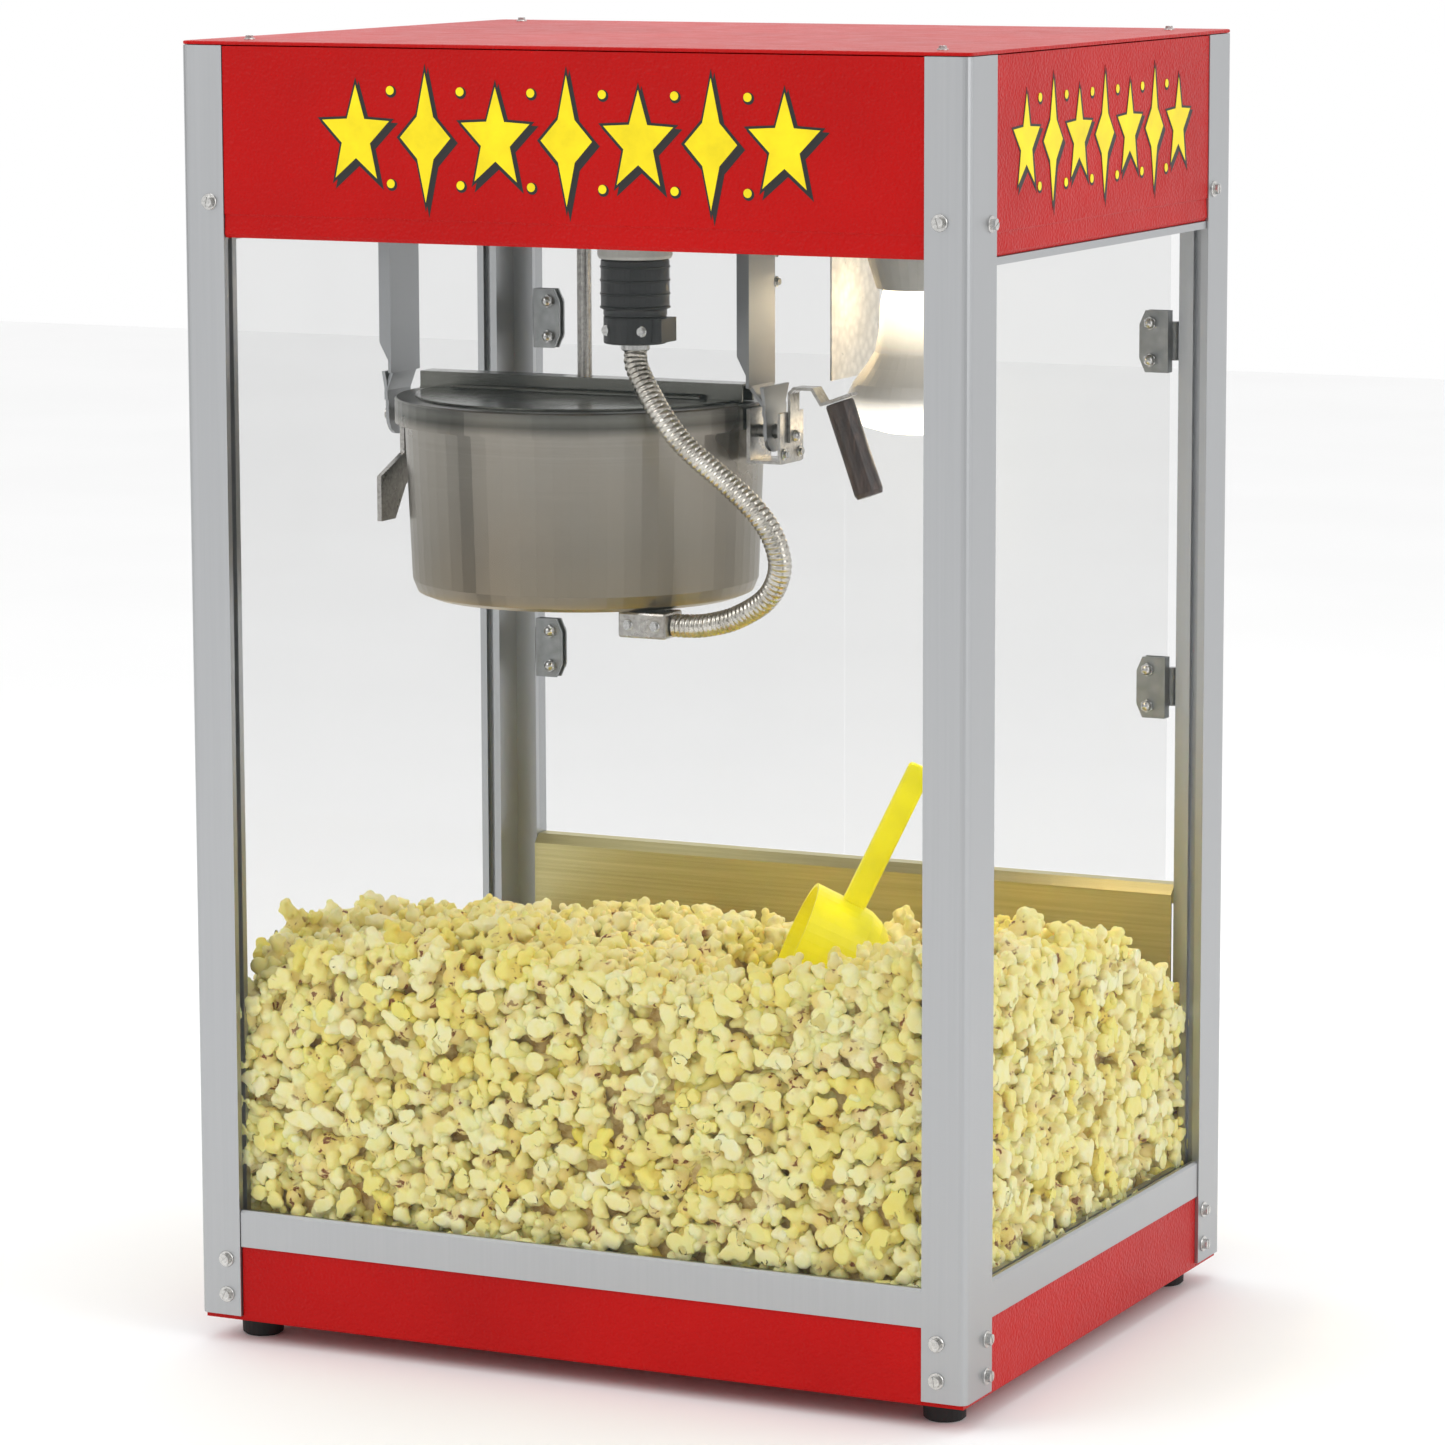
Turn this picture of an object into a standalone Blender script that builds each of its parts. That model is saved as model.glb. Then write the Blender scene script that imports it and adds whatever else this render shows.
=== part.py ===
"""Countertop popcorn machine: cabinet, tilting kettle with its drive, rear doors, crumb drawer.

Metres, +Z up, the customer's side faces -Y. The floor is z = 0 and the cabinet is centred in X and Y.
"""

import math

import bmesh
import bpy
from mathutils import Matrix, Vector

# ---- driving dimensions ----
WIDTH = 0.508  # over the corner posts
DEPTH = 0.407
POST_HEIGHT = 0.769
FOOT_HEIGHT = 0.014
FOOT_RADIUS = 0.0125
FOOT_IN = (0.026, 0.030)  # corner of the cabinet to the middle of a foot
PAN_FLOOR = 0.003  # base plate that the posts stand on
PAN_IN = 0.0026  # outer face of the cabinet to the edge of the pan's floor
SHEET = 0.002  # folded sheet of the pan
THIN = 0.0015  # folded sheet of the canopy, the deck and the drawer
POST_X = 0.028  # a post's leg along the front
POST_Y = 0.038  # a post's leg along the side
POST_WALL = 0.014  # how thick both legs are
POST_ROUND = 0.005
GLASS = 0.004
GLASS_IN = 0.007  # outer face of the cabinet to the middle of the glass
GROOVE = 0.004  # how deep the glass stands in posts and sills
BAND_HEIGHT = 0.043  # red band of the base
SILL_TOP = 0.066  # above the foot of the posts
SILL_DEEP = 0.0135
SIGN_TALL = 0.113  # sign, from the top of the posts down
SIGN_BOTTOM = POST_HEIGHT - SIGN_TALL
CREASE = 0.013
APRON_TOP = 0.236
APRON_IN = 0.0175  # rear face of the cabinet to the apron
KETTLE_X = -0.091
KETTLE_RADIUS = 0.111
KETTLE_HANGS = 0.106  # sign's lower edge to the kettle's rim
KETTLE_TALL = 0.122
KETTLE_RIM = SIGN_BOTTOM - KETTLE_HANGS
KETTLE_FLOOR = KETTLE_RIM - KETTLE_TALL
KETTLE_WALL = 0.0045
KETTLE_BOTTOM = 0.0145  # thickness of the heated bottom
KETTLE_MOUTH = KETTLE_RADIUS - 0.009  # inside of the turned-in rim
RIM_OUT = 0.006
LID_RADIUS = KETTLE_MOUTH + 0.0025
LID_BAR = 0.016  # width of the fixed bar between the lid's halves
TILT_Z = KETTLE_RIM - 0.017  # height of the kettle's pivots
PIN_RADIUS = 0.004
SHAFT_RADIUS = 0.0045
HUB_RADIUS = 0.011
BLADE_GAP = 0.0155  # kettle wall to the ends of the blades
SEAM_Z = SIGN_BOTTOM - 0.0035  # between the stirring shaft and its drive
HANGER_LEFT = -0.2175
HANGER_RIGHT = 0.029
HANGER_WIDTH = 0.037
HANGER_END = 0.0125
HANGER_SHEET = 0.0022
JOG_LEFT = 0.0045
JOG_RIGHT = 0.0095
GRIP_RADIUS = 0.0088
GRIP_LENGTH = 0.060
JUNCTION = (-0.015, -0.060)
PLUG_AT = (-0.014, -0.084)  # far enough out for the open lid to pass when the kettle tilts
PLUG_RADIUS = 0.0205
RECEPTACLE = 0.019
CONDUIT = 0.0145
LAMP_AT = (0.093, 0.092)
LAMP_RADIUS = 0.0452
LAMP_STEM = 0.012
SWITCH_WIDTH = 0.0214
SWITCH_HEIGHT = 0.025
INLET_RADIUS = 0.0092
DRAWER_WIDTH = 0.292
DRAWER_HEIGHT = 0.030
DRAWER_LENGTH = 0.354
DOOR_GLASS = 0.004
HINGE_LOW = APRON_TOP + 0.126  # above the foot of the posts
HINGE_HIGH = SIGN_BOTTOM - 0.077
HINGE_WIDTH = 0.0195
HINGE_HEIGHT = 0.0385
POPCORN = 0.216  # surface of the popcorn in the middle
SCOOP_MOUTH = (-0.80, -0.42, 0.42)  # where its mouth faces
SCOOP_RADIUS = 0.035
SCOOP_DEEP = 0.061
SCOOP_WALL = 0.0022
SCOOP_HANDLE = 0.096  # how far its handle reaches past the cup
GAP = 0.0003  # fixed pieces
CLEAR = 0.0006  # sheet pieces inside the posts
RUN = 0.0008  # moving pieces
DRAWER_GAP = 0.0025
MEET_GAP = 0.0010  # half of the gap between the doors
GROOVE_GAP = 0.0004  # glass in its groove

# ---- middle line of the conduit, from its clamp to the box under the kettle ----
ROUTE = [(-0.0140, -0.0840, 0.6155), (-0.0140, -0.0840, 0.6095), (-0.0140, -0.0840, 0.6025),
         (-0.0105, -0.0870, 0.5920), (0.0085, -0.0950, 0.5675), (0.0255, -0.0940, 0.5480),
         (0.0490, -0.0890, 0.5280), (0.0675, -0.0860, 0.5105), (0.0765, -0.0820, 0.4940),
         (0.0775, -0.0770, 0.4760), (0.0665, -0.0710, 0.4580), (0.0440, -0.0650, 0.4445),
         (0.0220, -0.0610, 0.4380), (0.0065, -0.0600, 0.4365), (0.0030, -0.0600, 0.4365),
         (-0.0003, -0.0600, 0.4365)]

BASE = FOOT_HEIGHT + PAN_FLOOR  # foot of the posts above the floor
HX, HY = WIDTH / 2, DEPTH / 2
TOP = BASE + POST_HEIGHT
SIGN_Z = BASE + SIGN_BOTTOM
APRON_Z = BASE + APRON_TOP
APRON_Y = HY - APRON_IN
SEAM = BASE + SEAM_Z
PIVOT = Vector((KETTLE_X, 0, BASE + TILT_Z))

for old in list(bpy.data.objects):
    bpy.data.objects.remove(old, do_unlink=True)
scene = bpy.context.scene
machine = bpy.data.collections.new("popcorn_machine")
cutters = bpy.data.collections.new("cutters")
scene.collection.children.link(machine)
scene.collection.children.link(cutters)

# ---- materials: colour, roughness, metallic ----
KINDS = {
    "red": ((0.53, 0.01, 0.008), 0.35, 0),
    "aluminium": ((0.62, 0.64, 0.65), 0.35, 1),
    "steel": ((0.6, 0.6, 0.58), 0.28, 1),
    "bright": ((0.75, 0.75, 0.74), 0.15, 1),
    "dark steel": ((0.16, 0.16, 0.16), 0.4, 1),
    "rubber": ((0.02, 0.02, 0.02), 0.8, 0),
    "black": ((0.015, 0.015, 0.016), 0.35, 0),
    "grip": ((0.05, 0.03, 0.025), 0.4, 0),
    "corn": ((0.86, 0.78, 0.5), 0.8, 0),
    "yellow": ((0.85, 0.6, 0.06), 0.35, 0),
    "porcelain": ((0.7, 0.69, 0.66), 0.4, 0),
    "glass": ((0.9, 0.95, 0.95), 0.03, 0),
    "lamp": ((1, 0.95, 0.85), 0.2, 0),
}


def finish(obj, kind):
    """Gives a piece its own material, named after it."""
    colour, rough, metal = KINDS[kind]
    m = bpy.data.materials.new(obj.name + "_mat")
    m.use_nodes = True
    b = m.node_tree.nodes["Principled BSDF"]
    b.inputs["Base Color"].default_value = (*colour, 1)
    b.inputs["Roughness"].default_value = rough
    b.inputs["Metallic"].default_value = metal
    if kind == "glass":
        b.inputs["Transmission Weight"].default_value = 1
    if kind == "lamp":
        b.inputs["Emission Color"].default_value = (1, 0.85, 0.6, 1)
        b.inputs["Emission Strength"].default_value = 3
    m.diffuse_color = (*colour, 1)
    obj.data.materials.clear()
    obj.data.materials.append(m)
    return obj


# ---- shapes: each gives a part in a material, or a cutter where kind is None ----
SIDE = {"z": Matrix.Identity(3), "x": Matrix(((0, 0, 1), (1, 0, 0), (0, 1, 0))),
        "y": Matrix(((1, 0, 0), (0, 0, -1), (0, 1, 0)))}


def place(name, data, kind, at=(0, 0, 0), turn=None):
    """Puts a mesh or curve in the scene. turn is its rotation matrix."""
    obj = bpy.data.objects.new(name, data)
    obj.location = at
    if turn is not None:
        obj.rotation_euler = turn.to_euler()
    if kind:
        machine.objects.link(obj)
        return finish(obj, kind)
    cutters.objects.link(obj)
    obj.hide_render = True
    obj.display_type = "WIRE"
    return obj


def to_mesh(bm, name, round_piece=False):
    mesh = bpy.data.meshes.new(name)
    bm.to_mesh(mesh)
    bm.free()
    if round_piece:
        mesh.shade_smooth()
        mesh.set_sharp_from_angle(angle=math.radians(35))
    return mesh


def bevel(obj, width, segments=2):
    mod = obj.modifiers.new("edges", "BEVEL")
    mod.width, mod.segments = width, segments
    mod.limit_method, mod.angle_limit = "ANGLE", math.radians(40)
    return obj


def box(name, lo, hi, kind, edge=0.0):
    """A box between two corners."""
    bm = bmesh.new()
    size = [b - a for a, b in zip(lo, hi)]
    bmesh.ops.create_cube(bm, size=1, matrix=Matrix.Diagonal((*size, 1)))
    obj = place(name, to_mesh(bm, name), kind, [(a + b) / 2 for a, b in zip(lo, hi)])
    return bevel(obj, edge) if edge else obj


def rod(name, centre, radius, a, b, kind, axis="z", steps=32, edge=0.0):
    """A cylinder along an axis from a to b. centre's entry along that axis isn't used."""
    at = list(centre)
    at["xyz".index(axis)] = (a + b) / 2
    bm = bmesh.new()
    bmesh.ops.create_cone(bm, cap_ends=True, segments=steps, radius1=radius, radius2=radius,
                          depth=b - a)
    obj = place(name, to_mesh(bm, name, True), kind, at, SIDE[axis])
    return bevel(obj, edge) if edge else obj


def prism(name, points, a, b, kind, axis="z"):
    """An outline extruded from a to b: points are (x, y), or (y, z) along x, or (x, z) along y."""
    curve = bpy.data.curves.new(name, "CURVE")
    curve.dimensions, curve.fill_mode = "2D", "BOTH"
    curve.extrude = (b - a) / 2
    spline = curve.splines.new("POLY")
    spline.points.add(len(points) - 1)
    spline.use_cyclic_u = True
    for point, at in zip(spline.points, points):
        point.co = (*at, 0, 1)
    flat = bpy.data.objects.new(name, curve)
    scene.collection.objects.link(flat)
    graph = bpy.context.evaluated_depsgraph_get()
    mesh = bpy.data.meshes.new_from_object(flat.evaluated_get(graph))
    bpy.data.objects.remove(flat)
    bpy.data.curves.remove(curve)
    bm = bmesh.new()
    bm.from_mesh(mesh)
    bpy.data.meshes.remove(mesh)
    bmesh.ops.remove_doubles(bm, verts=bm.verts, dist=1e-6)
    bmesh.ops.dissolve_limit(bm, angle_limit=0.001, verts=bm.verts, edges=bm.edges)
    bmesh.ops.recalc_face_normals(bm, faces=bm.faces)
    at = [0, 0, 0]
    at["xyz".index(axis)] = (a + b) / 2
    return place(name, to_mesh(bm, name), kind, at, SIDE[axis])


def turned(name, profile, at, kind, steps=48, turn=None):
    """A profile of (radius, height) points from the bottom up its outer side, turned about Z."""
    mesh = bpy.data.meshes.new(name)
    n = len(profile)
    edges = [(i, i + 1) for i in range(n - 1)]
    if min(r for r, z in profile) > 0:
        edges.append((n - 1, 0))
    mesh.from_pydata([(r, 0, z) for r, z in profile[::-1]], edges, [])
    obj = place(name, mesh, kind, at, turn)
    mod = obj.modifiers.new("turn", "SCREW")
    mod.angle = 2 * math.pi
    mod.steps = mod.render_steps = steps
    mod.use_merge_vertices, mod.merge_threshold = True, 0.00001
    mod.use_smooth_shade = True
    return obj


def bent(name, path, a, b, kind, thick, axis="x"):
    """A folded sheet whose middle follows path, from a to b along the axis."""
    bm = bmesh.new()
    verts = [bm.verts.new((p, q, a)) for p, q in path]
    edges = [bm.edges.new(pair) for pair in zip(verts, verts[1:])]
    wide = bmesh.ops.extrude_edge_only(bm, edges=edges)["geom"]
    moved = [v for v in wide if isinstance(v, bmesh.types.BMVert)]
    bmesh.ops.translate(bm, verts=moved, vec=(0, 0, b - a))
    obj = place(name, to_mesh(bm, name), kind, (0, 0, 0), SIDE[axis])
    if axis == "y":
        for v in obj.data.vertices:
            v.co.z = -v.co.z
    mod = obj.modifiers.new("sheet", "SOLIDIFY")
    mod.thickness, mod.offset = thick, 0
    mod.use_even_offset = True
    return obj


def cut(obj, tool, how="DIFFERENCE"):
    """Cuts obj by the tool, or joins the tool to it."""
    mod = obj.modifiers.new(tool.name, "BOOLEAN")
    mod.operation, mod.solver, mod.object = how, "EXACT", tool
    return obj


def join(obj, tool):
    return cut(obj, tool, "UNION")


def hang(pivot_name, at, parts):
    """Parents moving parts to an empty that stands on their joint."""
    empty = bpy.data.objects.new(pivot_name, None)
    empty.location = at
    machine.objects.link(empty)
    for part in parts:
        part.parent = empty
        part.matrix_parent_inverse = Matrix.Translation(at).inverted()
    return empty


def arc(cx, cy, r, a0, a1, n):
    return [(cx + r * math.cos(math.radians(a0 + (a1 - a0) * k / n)),
             cy + r * math.sin(math.radians(a0 + (a1 - a0) * k / n))) for k in range(n + 1)]


# ---- posts, sills and glass ----
G0 = GLASS_IN - GLASS / 2 - GROOVE_GAP
G1 = GLASS_IN + GLASS / 2 + GROOVE_GAP
SPAN_X = HX - POST_X - GAP  # free half widths between the posts
SPAN_Y = HY - POST_Y - GAP


def post(name, sx, sy):
    """The corner post at (sx, sy), with a groove in each leg that has glass beside it."""
    outline = arc(POST_ROUND, POST_ROUND, POST_ROUND, 180, 270, 5) + [(POST_X, 0)]
    if sy < 0:
        outline += [(POST_X, G0), (POST_X - GROOVE, G0), (POST_X - GROOVE, G1), (POST_X, G1)]
    outline += [(POST_X, POST_WALL), (POST_WALL, POST_WALL), (POST_WALL, POST_Y), (G1, POST_Y),
                (G1, POST_Y - GROOVE), (G0, POST_Y - GROOVE), (G0, POST_Y), (0, POST_Y)]
    return prism(name, [(sx * (HX - u), sy * (HY - v)) for u, v in outline], BASE, TOP,
                 "aluminium")


for name, sx, sy in (("front_left", -1, -1), ("front_right", 1, -1), ("rear_left", -1, 1),
                     ("rear_right", 1, 1)):
    post(f"post_{name}", sx, sy)


def sill(name, side, half, span, axis):
    """A sill between two posts. Its glass stands in the groove along its top."""
    low, high = BASE + BAND_HEIGHT + GAP, BASE + SILL_TOP
    floor = high - GROOVE
    outline = [(0.0008, low), (SILL_DEEP, low), (SILL_DEEP, high - 0.002), (G1, high - 0.002),
               (G1, floor), (G0, floor), (G0, high), (0.0022, high), (0.0008, high - 0.0014)]
    return prism(name, [(side * (half - u), z) for u, z in outline], -span, span, "aluminium",
                 axis)


sill("sill_front", -1, HY, SPAN_X, "x")
sill("sill_left", -1, HX, SPAN_Y, "y")
sill("sill_right", 1, HX, SPAN_Y, "y")

GLASS_LOW = BASE + SILL_TOP - GROOVE + GROOVE_GAP
GLASS_HIGH = SIGN_Z + 0.012
REACH_X = HX - POST_X + GROOVE - GROOVE_GAP
REACH_Y = HY - POST_Y + GROOVE - GROOVE_GAP
g0, g1 = GLASS_IN - GLASS / 2, GLASS_IN + GLASS / 2
box("glass_front", (-REACH_X, -HY + g0, GLASS_LOW), (REACH_X, -HY + g1, GLASS_HIGH), "glass")
box("glass_left", (-HX + g0, -REACH_Y, GLASS_LOW), (-HX + g1, REACH_Y, GLASS_HIGH), "glass")
box("glass_right", (HX - g1, -REACH_Y, GLASS_LOW), (HX - g0, REACH_Y, GLASS_HIGH), "glass")

# ---- base: a pan with a wall between the posts ----
band_top = BASE + BAND_HEIGHT
pan = box("base_pan", (-HX + PAN_IN, -HY + PAN_IN, FOOT_HEIGHT),
          (HX - PAN_IN, HY - PAN_IN, BASE - GAP), "red")
out_x, out_y, in_x, in_y = HX - SHEET, HY - SHEET, HX - 2 * SHEET, HY - 2 * SHEET
wall = box("pan_wall", (-out_x, -out_y, BASE - 0.002), (out_x, out_y, band_top), None)
cut(wall, box("pan_inside", (-in_x, -in_y, BASE - 0.01), (in_x, in_y, band_top + 0.01), None))
free_x, free_y = HX - POST_X - CLEAR, HY - POST_Y - CLEAR
for i, (sx, sy) in enumerate(((-1, -1), (1, -1), (-1, 1), (1, 1))):
    x0, x1 = sorted((sx * free_x, sx * HX))
    y0, y1 = sorted((sy * free_y, sy * HY))
    cut(wall, box(f"pan_corner_{i}", (x0, y0, BASE - 0.01), (x1, y1, band_top + 0.01), None))
join(pan, wall)
DRAWER_LOW = BASE + 0.0065
DRAWER_HIGH = DRAWER_LOW + DRAWER_HEIGHT
half_drawer = DRAWER_WIDTH / 2
cut(pan, box("pan_door", (-half_drawer - DRAWER_GAP, HY - 0.03, DRAWER_LOW - 0.002),
             (half_drawer + DRAWER_GAP, HY + 0.03, DRAWER_HIGH + 0.002), None))

FOOT = [(0, 0), (FOOT_RADIUS * 0.86, 0), (FOOT_RADIUS, 0.0015),
        (FOOT_RADIUS * 1.04, FOOT_HEIGHT - GAP), (0, FOOT_HEIGHT - GAP)]
for name, sx, sy in (("front_left", -1, -1), ("front_right", 1, -1), ("rear_left", -1, 1),
                     ("rear_right", 1, 1)):
    turned(f"foot_{name}", FOOT, (sx * (HX - FOOT_IN[0]), sy * (HY - FOOT_IN[1]), 0), "rubber", 24)

# deck under the popcorn, with slots over the drawer that let unpopped corn through
DECK = band_top + CLEAR
DECK_TOP = DECK + 0.0015
deck = box("floor_deck", (-HX + POST_WALL + 0.0006, -HY + POST_WALL + 0.0006, DECK),
           (HX - POST_WALL - 0.0006, APRON_Y - GAP, DECK_TOP), "steel")
for i in range(3):
    y = 0.09 * (i - 1)
    cut(deck, box(f"deck_slot_{i}", (-0.05, y - 0.0045, DECK - 0.01),
                  (0.05, y + 0.0045, DECK + 0.01), None))

# drawer for unpopped corn: it comes out at the rear
DRAWER_FACE = HY - 0.0055
DRAWER_BACK = DRAWER_FACE - DRAWER_LENGTH
drawer = box("crumb_drawer", (-half_drawer, DRAWER_BACK, DRAWER_LOW),
             (half_drawer, DRAWER_FACE, DRAWER_HIGH), "steel")
cut(drawer, box("drawer_inside", (-half_drawer + THIN, DRAWER_BACK + THIN, DRAWER_LOW + THIN),
                (half_drawer - THIN, DRAWER_FACE - THIN, DRAWER_HIGH + 0.01), None))
pull = [(DRAWER_FACE - THIN / 2, DRAWER_HIGH - THIN), (DRAWER_FACE + 0.012, DRAWER_HIGH - THIN),
        (DRAWER_FACE + 0.012, DRAWER_HIGH - 0.009),
        (DRAWER_FACE + 0.012 + THIN, DRAWER_HIGH - 0.009),
        (DRAWER_FACE + 0.012 + THIN, DRAWER_HIGH), (DRAWER_FACE - THIN / 2, DRAWER_HIGH)]
join(drawer, prism("drawer_pull", pull, -0.045, 0.045, None, "x"))
hang("drawer_slide", (0, DRAWER_FACE, DRAWER_LOW), [drawer])

# rear apron that holds the popcorn back, folded over at its top
apron = [(APRON_Y + THIN / 2, DECK), (APRON_Y + THIN / 2, APRON_Z - 0.006),
         (APRON_Y + 0.006, APRON_Z - THIN / 2), (APRON_Y + 0.0155, APRON_Z - THIN / 2),
         (APRON_Y + 0.0155, APRON_Z - 0.014)]
bent("rear_apron", apron, -SPAN_X, SPAN_X, "steel", THIN)

# ---- canopy ----


def sign(name, side, half, span, axis):
    """A sign panel: flat above its crease, with a proud band below that is folded under."""
    z0, z1, z2 = SIGN_Z, SIGN_Z + CREASE, TOP - GAP
    front = [(0.0006, z2), (0.0006, z1 + 0.0012), (0.0014, z1), (0.0008, z0 + 0.0024),
             (0.0022, z0), (0.0026 + THIN, z0), (0.0026 + THIN, z2)]
    return prism(name, [(side * (half - u), z) for u, z in front], -span, span, "red", axis)


sign("sign_front", -1, HY, SPAN_X, "x")
sign("sign_left", -1, HX, SPAN_Y, "y")
sign("sign_right", 1, HX, SPAN_Y, "y")
for name, side in (("left", -1), ("right", 1)):
    lo, hi = sorted((side * (HX - 0.0012), side * (HX - g0 + GAP)))
    box(f"trim_{name}", (lo, -SPAN_Y, SIGN_Z - GAP - 0.0045), (hi, SPAN_Y, SIGN_Z - GAP),
        "aluminium")
corner = [(HX - POST_ROUND + x, HY - POST_ROUND + y)
          for x, y in arc(0, 0, POST_ROUND, 0, 90, 4)]
cover = (corner + [(-x, y) for x, y in corner[::-1]] + [(-x, -y) for x, y in corner]
         + [(x, -y) for x, y in corner[::-1]])
bevel(prism("top_cover", cover, TOP + GAP, TOP + GAP + 0.0022, "red"), 0.0008)

inner_x, inner_y = HX - POST_WALL - 0.0005, HY - POST_WALL - 0.0005
ceiling = box("canopy_floor", (-inner_x, -inner_y, SIGN_Z), (inner_x, inner_y, SIGN_Z + THIN),
              "steel")
below, above = SIGN_Z - 0.02, SIGN_Z + 0.02
cut(ceiling, rod("drive_hole", (KETTLE_X, 0, 0), 0.011, below, above, None))
cut(ceiling, rod("plug_hole", (*PLUG_AT, 0), RECEPTACLE + GAP, below, above, None))
cut(ceiling, rod("lamp_hole", (*LAMP_AT, 0), LAMP_STEM - 0.004, below, above, None))

# rear panel with three rocker switches and the inlet of the mains lead
RY0, RY1 = HY - 0.004, HY - 0.002
SWITCH_Z = SIGN_Z + 0.068
INLET = (-0.170, SIGN_Z + 0.040)
panel = box("switch_panel", (-SPAN_X, RY0, SIGN_Z), (SPAN_X, RY1, TOP - GAP), "red")
cut(panel, rod("inlet_hole", (INLET[0], 0, INLET[1]), INLET_RADIUS + GAP, RY0 - 0.01, RY1 + 0.01,
               None, "y", 24))
for i, name in enumerate(("switch_heat", "switch_motor", "switch_light")):
    x = 0.040 + 0.045 * i
    w, h = SWITCH_WIDTH / 2, SWITCH_HEIGHT / 2
    cut(panel, box(name + "_hole", (x - w - RUN, RY0 - 0.01, SWITCH_Z - h - 0.003),
                   (x + w + RUN, RY1 + 0.01, SWITCH_Z + h + 0.003), None))
    rocker = [(RY1 - 0.012, SWITCH_Z - 0.006), (RY1 - 0.0035, SWITCH_Z - h),
              (RY1 + 0.0015, SWITCH_Z - h), (RY1 + 0.0022, SWITCH_Z), (RY1 + 0.0055, SWITCH_Z + h),
              (RY1 - 0.0005, SWITCH_Z + h), (RY1 - 0.012, SWITCH_Z + 0.006)]
    hang(name + "_pivot", (x, RY1 - 0.004, SWITCH_Z),
         [prism(name, rocker, x - w, x + w, "black", "x")])
r = INLET_RADIUS
turned("cord_inlet", [(0.0055, -0.012), (r, -0.012), (r, GAP), (0.014, GAP), (0.0132, 0.0042),
                      (0.0088, 0.0058), (0.0078, 0.0098), (0.0055, 0.0098)],
       (INLET[0], RY1, INLET[1]), "black", 24, Matrix.Rotation(-math.pi / 2, 3, "X"))

# gearmotor over the kettle, and the coupling on its output
MOTOR_Z = SIGN_Z + THIN + GAP
gear = box("gear_motor", (KETTLE_X - 0.034, -0.040, MOTOR_Z), (KETTLE_X + 0.034, 0.052,
           MOTOR_Z + 0.030), "steel", 0.002)
join(gear, rod("motor_can", (KETTLE_X, 0.022, 0), 0.027, MOTOR_Z + 0.028, MOTOR_Z + 0.082, None))
cut(gear, rod("output_hole", (KETTLE_X, 0, 0), 0.0075, MOTOR_Z - 0.01, MOTOR_Z + 0.012, None))
sleeve, tall = SHAFT_RADIUS + 0.0018, SIGN_Z - SEAM + 0.010
coupling = turned("drive_coupling", [(0, GAP), (sleeve - 0.0008, GAP), (sleeve, GAP + 0.0008),
                                     (sleeve, tall), (0, tall)], (KETTLE_X, 0, SEAM), "steel", 24)

# ---- hangers that carry the kettle's pivots ----
PZ = PIVOT.z


def hanger(name, x, jog):
    """A folded strap: a web with a front flange, set over by jog where it meets the pivot."""
    t = HANGER_SHEET
    front, rear = -HANGER_WIDTH * 0.46, HANGER_WIDTH * 0.54
    top, bend = SIGN_Z - GAP, PZ + 0.028
    obj = box(name, (x - t, front, bend - 0.001), (x, rear, top), "aluminium")
    end = HANGER_END
    foot = [(-end, PZ), (-end, PZ + 0.012), (front, bend), (rear, bend), (end, PZ + 0.012),
            (end, PZ)] + arc(0, PZ, end, 0, -180, 8)[1:-1]
    join(obj, prism(name + "_foot", foot, x + jog - t, x + jog, None, "x"))
    link = [(x - t / 2, bend + 0.006), (x - t / 2, bend), (x + jog - t / 2, bend - 0.012),
            (x + jog - t / 2, bend - 0.018)]
    join(obj, bent(name + "_link", link, front + 0.003, rear - 0.004, None, t, "y"))
    flange = [(x - t - 0.006, PZ + 0.046), (x - t + 0.0004, PZ + 0.034), (x - t + 0.0004, top),
              (x - t - 0.006, top)]
    join(obj, prism(name + "_flange", flange, front, front + t, None, "y"))
    join(obj, box(name + "_tab", (x - t - 0.006, front, top - t), (x - t + 0.0004, rear, top),
                  None))
    return cut(obj, rod(name + "_hole", (0, 0, PZ), PIN_RADIUS + RUN, x + jog - 0.01,
                        x + jog + 0.01, None, "x"))


hanger("hanger_left", HANGER_LEFT, -JOG_LEFT)
hanger("hanger_right", HANGER_RIGHT, JOG_RIGHT)

# ---- lamp ----
turned("lamp_socket", [(LAMP_STEM + 0.009, -0.028), (0.0235, -0.030), (0.0235, -0.041),
                       (0.0262, -0.041), (0.0322, -0.022), (0.033, -GAP),
                       (LAMP_STEM + 0.009, -GAP)], (*LAMP_AT, SIGN_Z), "porcelain", 32)
NECK = [(0, -0.010), (LAMP_STEM, -0.010), (LAMP_STEM, -0.034), (0.0215, -0.039),
        (0.024, -0.050)]
wide = [(0.55, -0.068), (0.605, -0.080), (0.73, -0.089), (0.90, -0.099), (1, -0.108),
        (1, -0.1145), (0.95, -0.1195), (0.77, -0.1255), (0.46, -0.1295), (0, -0.1305)]
bulb = NECK + [(share * LAMP_RADIUS, z) for share, z in wide]
turned("lamp_bulb", bulb[::-1], (*LAMP_AT, SIGN_Z), "lamp", 40)
SHIELD_X = LAMP_AT[0] - LAMP_RADIUS - 0.008
bent("lamp_shield", [(SHIELD_X + 0.012, SIGN_Z - GAP - 0.0006), (SHIELD_X, SIGN_Z - GAP - 0.0006),
                     (SHIELD_X, SIGN_Z - 0.099)], LAMP_AT[1] - 0.014, LAMP_AT[1] + 0.058,
     "bright", 0.0012, "y")

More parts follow.
